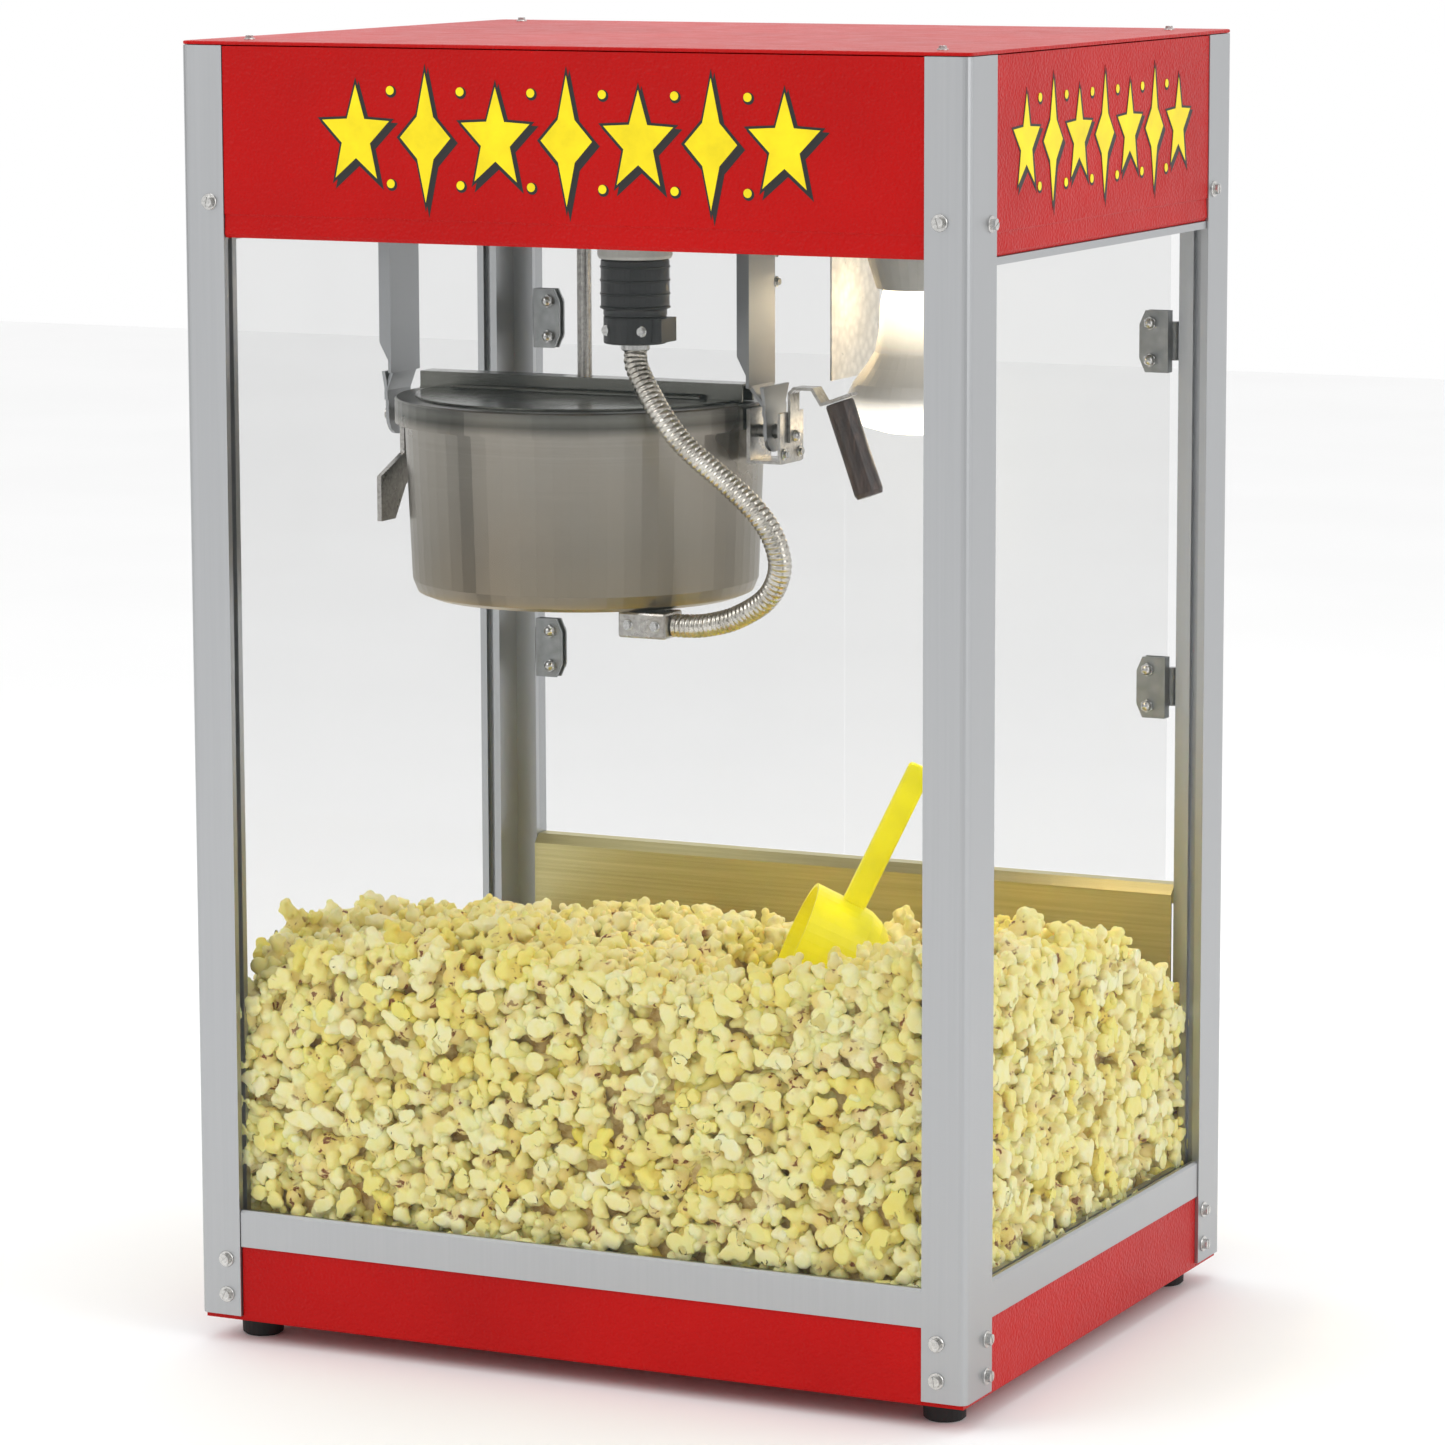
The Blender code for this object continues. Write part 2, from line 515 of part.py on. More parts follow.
# ---- kettle ----
R, RIM = KETTLE_RADIUS, KETTLE_RADIUS + RIM_OUT
height = KETTLE_RIM - KETTLE_FLOOR
inside = R - KETTLE_WALL
shell = turned("kettle_shell",
               [(0, 0), (R - 0.013, 0), (R - 0.007, 0.0025), (R - 0.004, 0.010),
                (R, height - 0.016), (RIM, height - 0.0155), (RIM, height - 0.001),
                (RIM - 0.001, height), (KETTLE_MOUTH, height), (KETTLE_MOUTH, height - 0.0015),
                (inside, height - 0.0035), (inside - 0.003, 0.024),
                (inside - 0.0095, KETTLE_BOTTOM), (0, KETTLE_BOTTOM)],
               (KETTLE_X, 0, BASE + KETTLE_FLOOR), "steel", 64)
PAN_Z = BASE + KETTLE_FLOOR + KETTLE_BOTTOM

# lid: a fixed bar across the rim and two hinged halves
LID_Z = BASE + KETTLE_RIM + GAP
b = LID_BAR / 2
hat = [(b + 0.0006, LID_Z + 0.0008), (b - 0.0008, LID_Z + 0.0008), (b - 0.0008, LID_Z + 0.0105),
       (-b + 0.0008, LID_Z + 0.0105), (-b + 0.0008, LID_Z + 0.0008), (-b - 0.0006, LID_Z + 0.0008)]
bar = bent("lid_bar", hat, KETTLE_X - R, KETTLE_X + R, "steel", 0.0014)
cut(bar, rod("lid_bar_hole", (KETTLE_X, 0, 0), SHAFT_RADIUS + RUN, LID_Z - 0.01, LID_Z + 0.03,
             None, steps=24))


def lid(name, s):
    """Half a lid, with its hinge rolled along the bar."""
    y0, reach = b + 0.0024, LID_RADIUS
    a0 = math.degrees(math.asin(y0 / reach))
    edge = [(KETTLE_X + x, s * y) for x, y in arc(0, 0, reach, a0, 180 - a0, 24)]
    obj = prism(name, edge, LID_Z, LID_Z + 0.0012, "steel")
    roll = (0, s * (y0 + 0.0016), LID_Z + 0.0022)
    return join(obj, rod(name + "_roll", roll, 0.0016, KETTLE_X - 0.085, KETTLE_X + 0.085, None,
                         "x", 10))


lid_hinge = b + 0.0024
front_lid, rear_lid = lid("lid_front", -1), lid("lid_rear", 1)

# pivots: a plain ear on the left, an open box on the right
ear_x = KETTLE_X - RIM - GAP
ear = [(0.018, PZ + 0.014), (-0.018, PZ + 0.014), (-0.018, PZ - 0.022), (-0.048, PZ - 0.034),
       (-0.048, PZ - 0.062), (-0.030, PZ - 0.062), (-0.016, PZ - 0.042), (0.018, PZ - 0.024)]
ear_left = prism("ear_left", ear, ear_x - 0.003, ear_x, "steel", "x")
arm_left = HANGER_LEFT - JOG_LEFT
join(ear_left, rod("ear_left_pin", (0, 0, PZ), PIN_RADIUS, arm_left - 0.008, ear_x - 0.001, None,
                   "x", 20))
ex = KETTLE_X + RIM + GAP
arm = HANGER_RIGHT + JOG_RIGHT
outer_x = arm + 0.0110
ear_right = box("ear_right", (ex, -0.015, PZ - 0.0185), (ex + 0.0024, 0.015, PZ + 0.0145),
                "steel")
join(ear_right, box("ear_floor", (ex + 0.001, -0.0145, PZ - 0.0185),
                    (outer_x, 0.0145, PZ - 0.0167), None))
join(ear_right, box("ear_wall", (outer_x - 0.0018, -0.0165, PZ - 0.0180),
                    (outer_x, 0.0165, PZ + 0.0125), None))
join(ear_right, rod("ear_right_pin", (0, 0, PZ), PIN_RADIUS, ex + 0.001, outer_x - 0.001, None,
                    "x", 20))

# handle: a bent strap on the ear, and a grip bolted to its end
hx, hz = outer_x + GAP + 0.0009, PZ + 0.024
strap = [(hx, PZ - 0.006), (hx, hz), (hx + 0.003, hz + 0.003), (hx + 0.015, hz + 0.003),
         (hx + 0.021, hz - 0.006), (hx + 0.0395, hz + 0.0007)]
handle = bent("handle_strap", strap, -0.0065, 0.0065, "steel", 0.0018, "y")
lean = Vector((0.342, 0, -0.940)).normalized()
grip_top = Vector((hx + 0.0302, 0, hz - 0.0038)) + lean * 0.0008
r, long = GRIP_RADIUS, GRIP_LENGTH
grip = turned("handle_grip", [(0, 0), (r * 0.93, 0), (r, 0.0012), (r, long * 0.6),
                              (r * 1.02, long - 0.003), (r * 0.9, long - 0.0004), (0, long)],
              grip_top, "grip", 28, Vector((0, 0, 1)).rotation_difference(lean).to_matrix())

# junction under the kettle, where the conduit goes in
junction_top = BASE + KETTLE_FLOOR - GAP
junction = box("junction_box", (JUNCTION[0] - 0.018, JUNCTION[1] - 0.012, junction_top - 0.0158),
               (JUNCTION[0] + 0.014, JUNCTION[1] + 0.012, junction_top), "steel", 0.0015)
kettle = hang("kettle_pivot", PIVOT, [shell, bar, ear_left, ear_right, handle, grip, junction])
front_hinge = hang("lid_front_hinge", (KETTLE_X, -lid_hinge, LID_Z), [front_lid])
rear_hinge = hang("lid_rear_hinge", (KETTLE_X, lid_hinge, LID_Z), [rear_lid])

# stirring shaft with its blades
shaft = rod("stir_shaft", (KETTLE_X, 0, 0), SHAFT_RADIUS, PAN_Z + 0.0035, SEAM - GAP, "steel",
            steps=24)
r = SHAFT_RADIUS + GAP
stirrer = turned("agitator", [(r, 0.0016), (HUB_RADIUS, 0.0016), (HUB_RADIUS, 0.013),
                              (r, 0.013)], (KETTLE_X, 0, PAN_Z), "steel", 24)
reach = inside - BLADE_GAP
for i in range(3):
    blade = prism(f"blade_{i}", [(0.008, 0.0030), (reach, 0.0020), (reach, 0.0060),
                                 (0.008, 0.0110)], -0.0011, 0.0011, None, "y")
    blade.location = (KETTLE_X, 0, PAN_Z)
    blade.rotation_euler = (Matrix.Rotation(math.radians(30 + 120 * i), 3, "Z")
                            @ SIDE["y"]).to_euler()
    join(stirrer, blade)
stir = hang("stirrer_axis", (KETTLE_X, 0, PAN_Z), [shaft, stirrer])
for empty in (front_hinge, rear_hinge, stir):
    empty.parent = kettle
    empty.matrix_parent_inverse = Matrix.Translation(PIVOT).inverted()
hang("drive_axis", (KETTLE_X, 0, SEAM), [coupling])

# ---- plug and conduit of the kettle's heater ----
px, py = PLUG_AT
turned("kettle_receptacle", [(0, -0.0138), (0.0215, -0.0138), (0.0225, -0.012), (0.0225, -GAP),
                             (RECEPTACLE, -GAP), (RECEPTACLE, 0.020), (0, 0.020)],
       (px, py, SIGN_Z), "porcelain", 32)
p, tall = PLUG_RADIUS, 0.0334
PLUG_LOW = SIGN_Z - 0.0138 - GAP - tall
turned("kettle_plug", [(0, 0), (p - 0.0015, 0), (p - 0.0015, 0.003), (p, 0.006), (p, tall - 0.001),
                       (p - 0.001, tall), (0, tall)], (px, py, PLUG_LOW), "black", 40)
clamp_top, clamp_low = PLUG_LOW - GAP, PLUG_LOW - 0.0170
clamp = rod("plug_clamp", (px, py, 0), p * 0.93, clamp_low, clamp_top, "black", edge=0.0012)
join(clamp, box("clamp_lug", (px + 0.010, py - 0.010, clamp_low + 0.0015),
                (px + p + 0.0018, py + 0.010, clamp_top - 0.001), None))
cut(clamp, rod("clamp_hole", (px, py, 0), CONDUIT / 2 + RUN, clamp_low - 0.01, clamp_low + 0.008,
               None, steps=24))


def smooth(points, each):
    """Points along a Catmull-Rom curve through the given ones."""
    p = [Vector(q) for q in points]
    p = [2 * p[0] - p[1]] + p + [2 * p[-1] - p[-2]]
    line = []
    for a, b, c, d in zip(p, p[1:], p[2:], p[3:]):
        for k in range(each):
            t = k / each
            line.append(0.5 * (2 * b + (c - a) * t + (2 * a - 5 * b + 4 * c - d) * t * t
                               + (3 * b - a - 3 * c + d) * t ** 3))
    return line + [p[-2]]


curve = bpy.data.curves.new("conduit", "CURVE")
curve.dimensions = "3D"
line = smooth(ROUTE, 2)
spline = curve.splines.new("POLY")
spline.points.add(len(line) - 1)
for point, at in zip(spline.points, line):
    point.co = (*at, 1)
curve.bevel_depth, curve.bevel_resolution = CONDUIT / 2, 3
curve.use_fill_caps = True
place("conduit", curve, "bright")

# ---- rear doors: glass held by clips that turn on pins at the posts ----
DY0 = APRON_Y - 0.0020
DY1 = DY0 + DOOR_GLASS
DZ0, DZ1 = APRON_Z + 0.004, SIGN_Z - 0.006
PIN_X, PIN_Y = SPAN_X - 0.0035, DY1 + 0.0045


def door(side, s):
    """One leaf: glass, and two folded clips over its outer edge."""
    edge = PIN_X - 0.0012
    lo, hi = sorted((s * MEET_GAP, s * edge))
    glass = box(f"door_glass_{side}", (lo, DY0, DZ0), (hi, DY1, DZ1), "glass")
    parts = [glass]
    for level, z in (("low", BASE + HINGE_LOW), ("high", BASE + HINGE_HIGH)):
        w, h = HINGE_WIDTH, HINGE_HEIGHT / 2
        plate = [(PIN_X - 0.0005, z - h), (PIN_X - 0.0005, z + h), (PIN_X - w * 0.8, z + h),
                 (PIN_X - w, z + h * 0.55), (PIN_X - w, z - h * 0.55), (PIN_X - w * 0.8, z - h)]
        clip = prism(f"hinge_{level}_{side}", [(s * x, q) for x, q in plate],
                     DY0 - GAP - 0.0016, DY1 + GAP + 0.0016, "dark steel", "y")
        lo, hi = sorted((s * (edge + GAP), s * (PIN_X - 0.04)))
        cut(clip, box(f"clip_slot_{level}_{side}", (lo, DY0 - GAP, z - h - 0.01),
                      (hi, DY1 + GAP, z + h + 0.01), None))
        join(clip, rod(f"knuckle_{level}_{side}", (s * PIN_X, PIN_Y, 0), 0.0030, z - 0.012,
                       z + 0.012, None, steps=16))
        parts.append(clip)
    hang(f"door_{side}_hinge", (s * PIN_X, PIN_Y, DZ0), parts)


door("left", -1)
door("right", 1)

# ---- popcorn on the deck, with a hollow where the scoop stands ----
mouth = Vector(SCOOP_MOUTH).normalized()
SCOOP_AT = Vector((0.106, 0.0125, BASE + 0.199))
hollow_at = SCOOP_AT + mouth * SCOOP_DEEP / 2
PX, PY0, PY1 = HX - POST_WALL - 0.0012, -HY + POST_WALL + 0.0012, APRON_Y - 0.0008


def surface(x, y):
    """Height of the popcorn over the foot of the posts."""
    u, v = x / PX, y / PY1
    z = POPCORN + 0.012 * u - 0.030 * v - 0.015 * v * v
    z += 0.004 * math.sin(31 * x + 1) * math.cos(27 * y) + 0.003 * math.sin(55 * y + 40 * x)
    z -= 0.034 * math.exp(-((x + PX) ** 2 + (y - PY0) ** 2) / 0.0016)
    z -= 0.034 * math.exp(-(x - 0.080) ** 2 / 0.006 - (y + 0.095) ** 2 / 0.008)
    z -= 0.026 * math.exp(-((x - PX) ** 2 + (y - PY1) ** 2) / 0.004)
    beside = max(abs(x - hollow_at.x) / 0.066, abs(y - hollow_at.y) / 0.060)
    if beside < 1:
        z = min(z, 0.1765 + max(0, beside - 0.74) / 0.26 * 0.050)
    return z


NX, NY = 30, 24
bm = bmesh.new()
bmesh.ops.create_grid(bm, x_segments=NX, y_segments=NY, size=0.5)
skirt = bmesh.ops.extrude_face_region(bm, geom=bm.faces[:])["geom"]
top_verts = {v for v in skirt if isinstance(v, bmesh.types.BMVert)}
for v in bm.verts:
    x = 2 * PX * v.co.x
    y = PY0 + (PY1 - PY0) * (v.co.y + 0.5)
    v.co = (x, y, BASE + surface(x, y) if v in top_verts else DECK_TOP + GAP)
bottom = [f for f in bm.faces if not any(v in top_verts for v in f.verts)]
bmesh.ops.dissolve_faces(bm, faces=bottom)
bmesh.ops.recalc_face_normals(bm, faces=bm.faces)
place("popcorn_pile", to_mesh(bm, "popcorn_pile", True), "corn")

# ---- scoop: a deep round cup whose mouth leans over, with a flat handle beside it ----
up = Vector((0.362, 0.05, 0.932))
up = (up - up.dot(mouth) * mouth).normalized()
lean = Matrix((up.cross(mouth), up, mouth)).transposed()
c, w, deep = SCOOP_RADIUS, SCOOP_WALL, SCOOP_DEEP
bowl = [(c * math.cos(math.radians(t)), c * (math.sin(math.radians(t)) + 1) * 0.9)
        for t in range(-90, 1, 15)]
hollow = [((c - w) * math.cos(math.radians(t)),
           w + (c - w) * (math.sin(math.radians(t)) + 1) * 0.9) for t in range(0, -91, -15)]
scoop = turned("scoop", bowl + [(c * 1.03, deep), (c * 1.03 - w, deep)] + hollow, SCOOP_AT,
               "yellow", 40, lean)
blade = box("scoop_handle", (-0.0035, c - w / 2, 0.0295), (0.0035, c + SCOOP_HANDLE, 0.0445),
            None, 0.0022)
blade.data.transform(Matrix.Translation(blade.location))
blade.location, blade.rotation_euler = SCOOP_AT, lean.to_euler()
join(scoop, blade)
hang("scoop_slide", SCOOP_AT, [scoop])
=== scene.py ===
"""Looks of the countertop popcorn machine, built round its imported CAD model. Metres, +Z up."""
import math
import random

import bmesh
import bpy
import numpy as np
from mathutils import Matrix, Vector, noise
from mathutils.bvhtree import BVHTree


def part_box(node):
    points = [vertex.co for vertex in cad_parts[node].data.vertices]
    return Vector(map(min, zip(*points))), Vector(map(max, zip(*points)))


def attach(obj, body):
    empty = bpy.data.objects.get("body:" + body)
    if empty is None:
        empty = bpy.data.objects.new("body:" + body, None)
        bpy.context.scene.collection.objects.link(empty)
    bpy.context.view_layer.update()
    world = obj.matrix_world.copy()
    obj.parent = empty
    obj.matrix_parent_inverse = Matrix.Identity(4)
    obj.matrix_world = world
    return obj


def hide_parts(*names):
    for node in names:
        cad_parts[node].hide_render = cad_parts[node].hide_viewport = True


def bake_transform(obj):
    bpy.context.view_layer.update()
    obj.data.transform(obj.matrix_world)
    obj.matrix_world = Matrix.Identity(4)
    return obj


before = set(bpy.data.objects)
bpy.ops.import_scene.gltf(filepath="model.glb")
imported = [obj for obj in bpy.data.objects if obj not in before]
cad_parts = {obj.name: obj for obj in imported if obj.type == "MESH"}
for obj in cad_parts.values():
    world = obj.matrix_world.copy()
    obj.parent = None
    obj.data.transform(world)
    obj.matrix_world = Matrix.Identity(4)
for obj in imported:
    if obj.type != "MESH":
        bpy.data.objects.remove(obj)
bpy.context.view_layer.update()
scene = bpy.context.scene


def corners(node):
    lo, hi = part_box(node)
    return Vector(lo), Vector(hi)


# ---- where things are, from the frame ----
HX, HY = corners("post_front_right")[1].x, -corners("post_front_right")[0].y
POST_LOW, POST_TOP = corners("post_front_right")[0].z, corners("post_front_right")[1].z
POST_H = POST_TOP - POST_LOW
LEG_X = HX - corners("post_front_right")[0].x
LEG_Y = HY + corners("post_front_right")[1].y
ROOT = "cabinet"

# ---- camera ----
AZIMUTH, ELEVATION, ROLL = math.radians(25.74), math.radians(8.83), math.radians(-0.16)
camera = bpy.data.objects.new("camera", bpy.data.cameras.new("camera"))
scene.collection.objects.link(camera)
camera.data.sensor_width, camera.data.lens = 36, 143.4
camera.location = (1.975 * POST_H, -4.090 * POST_H, 1.163 * POST_H + POST_LOW)
looks = Vector((-math.sin(AZIMUTH) * math.cos(ELEVATION), math.cos(AZIMUTH) * math.cos(ELEVATION),
                -math.sin(ELEVATION)))
camera.rotation_euler = (looks.to_track_quat("-Z", "Y").to_matrix()
                         @ Matrix.Rotation(ROLL, 3, "Z")).to_euler()
scene.camera = camera

# ---- studio ----
scene.view_settings.view_transform = "Standard"
world = bpy.data.worlds.new("studio")
scene.world = world
world.use_nodes = True
world.node_tree.nodes["Background"].inputs["Color"].default_value = (1, 1, 1, 1)

# Dark screens round the object: which way they stand, how dim they are, and where they begin
SCREENS = (((0.30, -0.95, 0.05), 0.30, 0.86), ((0.97, -0.10, 0.2), 0.45, 0.80),
           ((-0.96, -0.28, 0.0), 0.42, 0.90))


def room_strength():
    """White where the lens sees past the object; elsewhere dimmer towards the dark screens."""
    nodes, links = world.node_tree.nodes, world.node_tree.links
    way = nodes.new("ShaderNodeTexCoord").outputs["Generated"]
    value = None
    for screen, low, start in SCREENS:
        dot = nodes.new("ShaderNodeVectorMath")
        dot.operation = "DOT_PRODUCT"
        dot.inputs[1].default_value = Vector(screen).normalized()
        links.new(way, dot.inputs[0])
        dim = nodes.new("ShaderNodeMapRange")
        dim.interpolation_type = "SMOOTHSTEP"
        for key, number in (("From Min", start), ("From Max", 0.995), ("To Min", 1.0),
                            ("To Max", low)):
            dim.inputs[key].default_value = number
        links.new(dot.outputs["Value"], dim.inputs["Value"])
        if value is None:
            value = dim.outputs["Result"]
        else:
            both = nodes.new("ShaderNodeMath")
            both.operation = "MULTIPLY"
            links.new(value, both.inputs[0])
            links.new(dim.outputs["Result"], both.inputs[1])
            value = both.outputs[0]
    seen = nodes.new("ShaderNodeMix")
    links.new(nodes.new("ShaderNodeLightPath").outputs["Is Camera Ray"], seen.inputs[0])
    links.new(value, seen.inputs[2])
    seen.inputs[3].default_value = 1.0
    links.new(seen.outputs[0], nodes["Background"].inputs["Strength"])


room_strength()


def softbox(name, at, aim, size, watts, colour=(1, 1, 1)):
    light = bpy.data.lights.new(name, "AREA")
    light.shape, light.size, light.size_y = "RECTANGLE", *size
    light.energy, light.color = watts, colour
    obj = bpy.data.objects.new(name, light)
    obj.location = at
    obj.rotation_euler = (Vector(aim) - Vector(at)).to_track_quat("-Z", "Y").to_euler()
    scene.collection.objects.link(obj)
    return obj


softbox("key", (-1.6, -2.2, 2.2), (0, 0, 0.4), (1.4, 1.4), 16)
softbox("side", (2.4, -0.6, 1.3), (0, 0, 0.4), (1.2, 1.6), 14)
softbox("top", (0, 0.2, 2.6), (0, 0, 0.4), (1.6, 1.2), 12)
lamp_lo, lamp_hi = corners("lamp_bulb")
lamp_mid = (lamp_lo + lamp_hi) / 2
WARM = (1, 0.78, 0.46)


def glow(name, at, radius, watts):
    light = bpy.data.lights.new(name, "POINT")
    light.energy, light.color, light.shadow_soft_size = watts, WARM, radius
    obj = bpy.data.objects.new(name, light)
    obj.location = at
    obj.visible_camera = obj.visible_glossy = False
    scene.collection.objects.link(obj)


glow("lamp_neck_glow", (lamp_lo.x + 0.014, lamp_mid.y + 0.008, lamp_mid.z + 0.022), 0.004, 0.30)
glow("lamp_face_glow", (lamp_mid.x, lamp_mid.y, lamp_lo.z - 0.02), 0.02, 1.1)

# ---- materials ----


class Shader:
    """A Principled material with a few short ways to add procedural detail."""

    def __init__(self, name, colour, rough=0.4, metal=0.0, **sockets):
        self.material = bpy.data.materials.new(name)
        self.material.use_nodes = True
        self.nodes, self.links = self.material.node_tree.nodes, self.material.node_tree.links
        self.bsdf = self.nodes["Principled BSDF"]
        self.set("Base Color", (*colour, 1))
        self.set("Roughness", rough)
        self.set("Metallic", metal)
        self.material.diffuse_color = (*colour, 1)
        for key, value in sockets.items():
            self.set(key.replace("_", " "), value)
        self.where = self.nodes.new("ShaderNodeTexCoord").outputs["Object"]

    def set(self, socket, value):
        self.bsdf.inputs[socket].default_value = value

    def link(self, a, b):
        self.links.new(a, b)

    def spread(self, scale):
        """Object coordinates scaled on each axis: a small number draws the grain out."""
        node = self.nodes.new("ShaderNodeMapping")
        node.inputs["Scale"].default_value = scale
        self.link(self.where, node.inputs["Vector"])
        return node.outputs["Vector"]

    def noise(self, scale, detail=4, rough=0.55, spread=None, distort=0.0):
        node = self.nodes.new("ShaderNodeTexNoise")
        node.inputs["Scale"].default_value = scale
        node.inputs["Detail"].default_value = detail
        node.inputs["Roughness"].default_value = rough
        node.inputs["Distortion"].default_value = distort
        self.link(self.spread(spread) if spread else self.where, node.inputs["Vector"])
        return node.outputs["Fac"]

    def cells(self, scale, feature="F1"):
        node = self.nodes.new("ShaderNodeTexVoronoi")
        node.feature = feature
        node.inputs["Scale"].default_value = scale
        self.link(self.where, node.inputs["Vector"])
        return node.outputs["Distance"]

    def axis(self, name):
        node = self.nodes.new("ShaderNodeSeparateXYZ")
        self.link(self.where, node.inputs[0])
        return node.outputs[name]

    def attribute(self, name):
        node = self.nodes.new("ShaderNodeAttribute")
        node.attribute_name = name
        return node

    def ramp(self, value, *stops):
        """Colour stops of (position, colour)."""
        node = self.nodes.new("ShaderNodeValToRGB")
        band = node.color_ramp
        while len(band.elements) < len(stops):
            band.elements.new(0.5)
        for element, (place, colour) in zip(band.elements, stops):
            element.position = place
            element.color = (*colour, 1) if len(colour) == 3 else colour
        self.link(value, node.inputs["Fac"])
        return node.outputs["Color"]

    def grey(self, value, low, high, start=0.0, end=1.0):
        """Maps start..end of a value to low..high."""
        node = self.nodes.new("ShaderNodeMapRange")
        for key, number in (("From Min", start), ("From Max", end), ("To Min", low),
                            ("To Max", high)):
            node.inputs[key].default_value = number
        self.link(value, node.inputs["Value"])
        return node.outputs["Result"]

    def mix(self, share, a, b, blend="MIX"):
        """Mixes two colours; each is a socket or three numbers, and so may share be a number."""
        node = self.nodes.new("ShaderNodeMix")
        node.data_type, node.blend_type = "RGBA", blend
        for socket, value in ((node.inputs[0], share), (node.inputs[6], a), (node.inputs[7], b)):
            if isinstance(value, bpy.types.NodeSocket):
                self.link(value, socket)
            elif isinstance(value, (int, float)):
                socket.default_value = value
            else:
                socket.default_value = (*value, 1)
        return node.outputs[2]

    def colour(self, socket):
        self.link(socket, self.bsdf.inputs["Base Color"])
        return self

    def rough(self, socket):
        self.link(socket, self.bsdf.inputs["Roughness"])
        return self

    def bump(self, height, distance, strength=1.0):
        node = self.nodes.new("ShaderNodeBump")
        node.inputs["Strength"].default_value = strength
        node.inputs["Distance"].default_value = distance
        self.link(height, node.inputs["Height"])
        if self.bsdf.inputs["Normal"].links:
            self.link(self.bsdf.inputs["Normal"].links[0].from_socket, node.inputs["Normal"])
        self.link(node.outputs["Normal"], self.bsdf.inputs["Normal"])
        return self


def powder_red():
    m = Shader("red_powder_coat", (0.42, 0.001, 0.001), 0.38, Specular_IOR_Level=0.16)
    m.colour(m.ramp(m.noise(5, 3), (0.35, (0.41, 0.0006, 0.0004)), (0.65, (0.50, 0.0012, 0.0007))))
    m.rough(m.grey(m.noise(60, 3), 0.26, 0.44))
    return m.bump(m.cells(560, "SMOOTH_F1"), 0.0005, 1.0).bump(m.noise(1300, 2), 0.00012, 0.6)


def satin_aluminium(name="satin_aluminium", tone=0.50, rough=0.36, grain=(500, 500, 6)):
    m = Shader(name, (tone, tone, tone), rough, 0.92)
    streak = m.noise(1, 5, 0.6, grain)
    cloud = m.noise(4, 3)
    light = m.ramp(streak, (0.3, (tone * 0.97, tone * 0.99, tone * 1.01)),
                   (0.7, (tone * 1.03, tone * 1.05, tone * 1.07)))
    m.colour(m.mix(m.grey(cloud, 0, 0.25), light, (tone * 0.82, tone * 0.84, tone * 0.88)))
    m.rough(m.grey(streak, rough - 0.06, rough + 0.10))
    return m.bump(streak, 0.00006, 0.35)


def brushed_steel(name, low, high, rough=0.3, grain=(8, 8, 900), stain=None):
    m = Shader(name, high, rough, 1.0)
    streak = m.noise(1, 6, 0.62, grain)
    tone = m.ramp(streak, (0.32, low), (0.68, high))
    if stain:
        tone = m.mix(m.grey(m.noise(16, 5, 0.6, (1, 1, 0.5), 0.6), 0, 0.8, 0.50, 0.78), tone, stain)
    m.colour(tone)
    m.rough(m.grey(m.noise(30, 4), rough - 0.08, rough + 0.14))
    return m.bump(streak, 0.00005, 0.4)


def kettle_steel():
    """Drum brushed round its axis, warmer and duller towards the bottom, with a dark rim band; the
    darker bottom and lighter top are painted shade.
    """
    m = Shader("kettle_steel", (0.46, 0.44, 0.40), 0.30, 1.0, Anisotropic=0.5)
    lo, hi = corners("kettle_shell")
    height = m.grey(m.axis("Z"), 0, 1, lo.z, hi.z)
    fine = m.noise(1, 5, 0.6, (4, 4, 1900))
    # painted shade: the drum's colour runs dark low down and lighter near the top, standing in for
    # reflected light
    body = m.ramp(height, (0.0, (0.40, 0.30, 0.13)), (0.05, (0.26, 0.225, 0.165)),
                  (0.30, (0.26, 0.235, 0.19)), (0.88, (0.38, 0.355, 0.31)),
                  (0.925, (0.11, 0.11, 0.095)), (0.965, (0.20, 0.20, 0.18)),
                  (1.0, (0.13, 0.13, 0.12)))
    grained_and_shaded = m.mix(m.grey(fine, 0, 0.30, 0.35, 0.65), body, (0.24, 0.22, 0.19))
    cloud = m.grey(m.noise(7, 3, 0.5, (1, 1, 0.6)), 0, 0.35, 0.48, 0.75)
    m.colour(m.mix(cloud, grained_and_shaded, (0.36, 0.27, 0.18)))
    m.rough(m.grey(m.noise(12, 3), 0.22, 0.36))
    return m.bump(fine, 0.00003, 0.25)


def zinc(name, tone, rough=0.38):
    m = Shader(name, tone, rough, 0.9)
    spangle = m.cells(170)
    m.colour(m.ramp(spangle, (0.0, [t * 1.12 for t in tone]), (0.9, [t * 0.82 for t in tone])))
    m.rough(m.grey(m.noise(220, 4), rough - 0.1, rough + 0.14))
    return m.bump(m.noise(700, 4), 0.00008, 0.4)


def moulded(name, colour, rough=0.4, grain=900, **sockets):
    """Plastic with a fine moulded grain and slight wear."""
    m = Shader(name, colour, rough, **sockets)
    worn = m.noise(40, 5, 0.6)
    m.colour(m.ramp(worn, (0.3, [c * 0.86 for c in colour]), (0.75, [c * 1.12 for c in colour])))
    m.rough(m.grey(worn, rough - 0.05, rough + 0.12))
    return m.bump(m.noise(grain, 3), 0.00005, 0.5)


def clear_glass():
    m = Shader("clear_glass", (0.10, 0.12, 0.12), 0.03, Alpha=0.064, Specular_IOR_Level=0.5)
    smear = m.noise(9, 5, 0.6, (1, 1, 0.6), 0.4)
    m.rough(m.grey(smear, 0.015, 0.09, 0.45, 0.8))
    m.colour(m.ramp(smear, (0.4, (0.08, 0.10, 0.10)), (0.8, (0.16, 0.17, 0.17))))
    return m


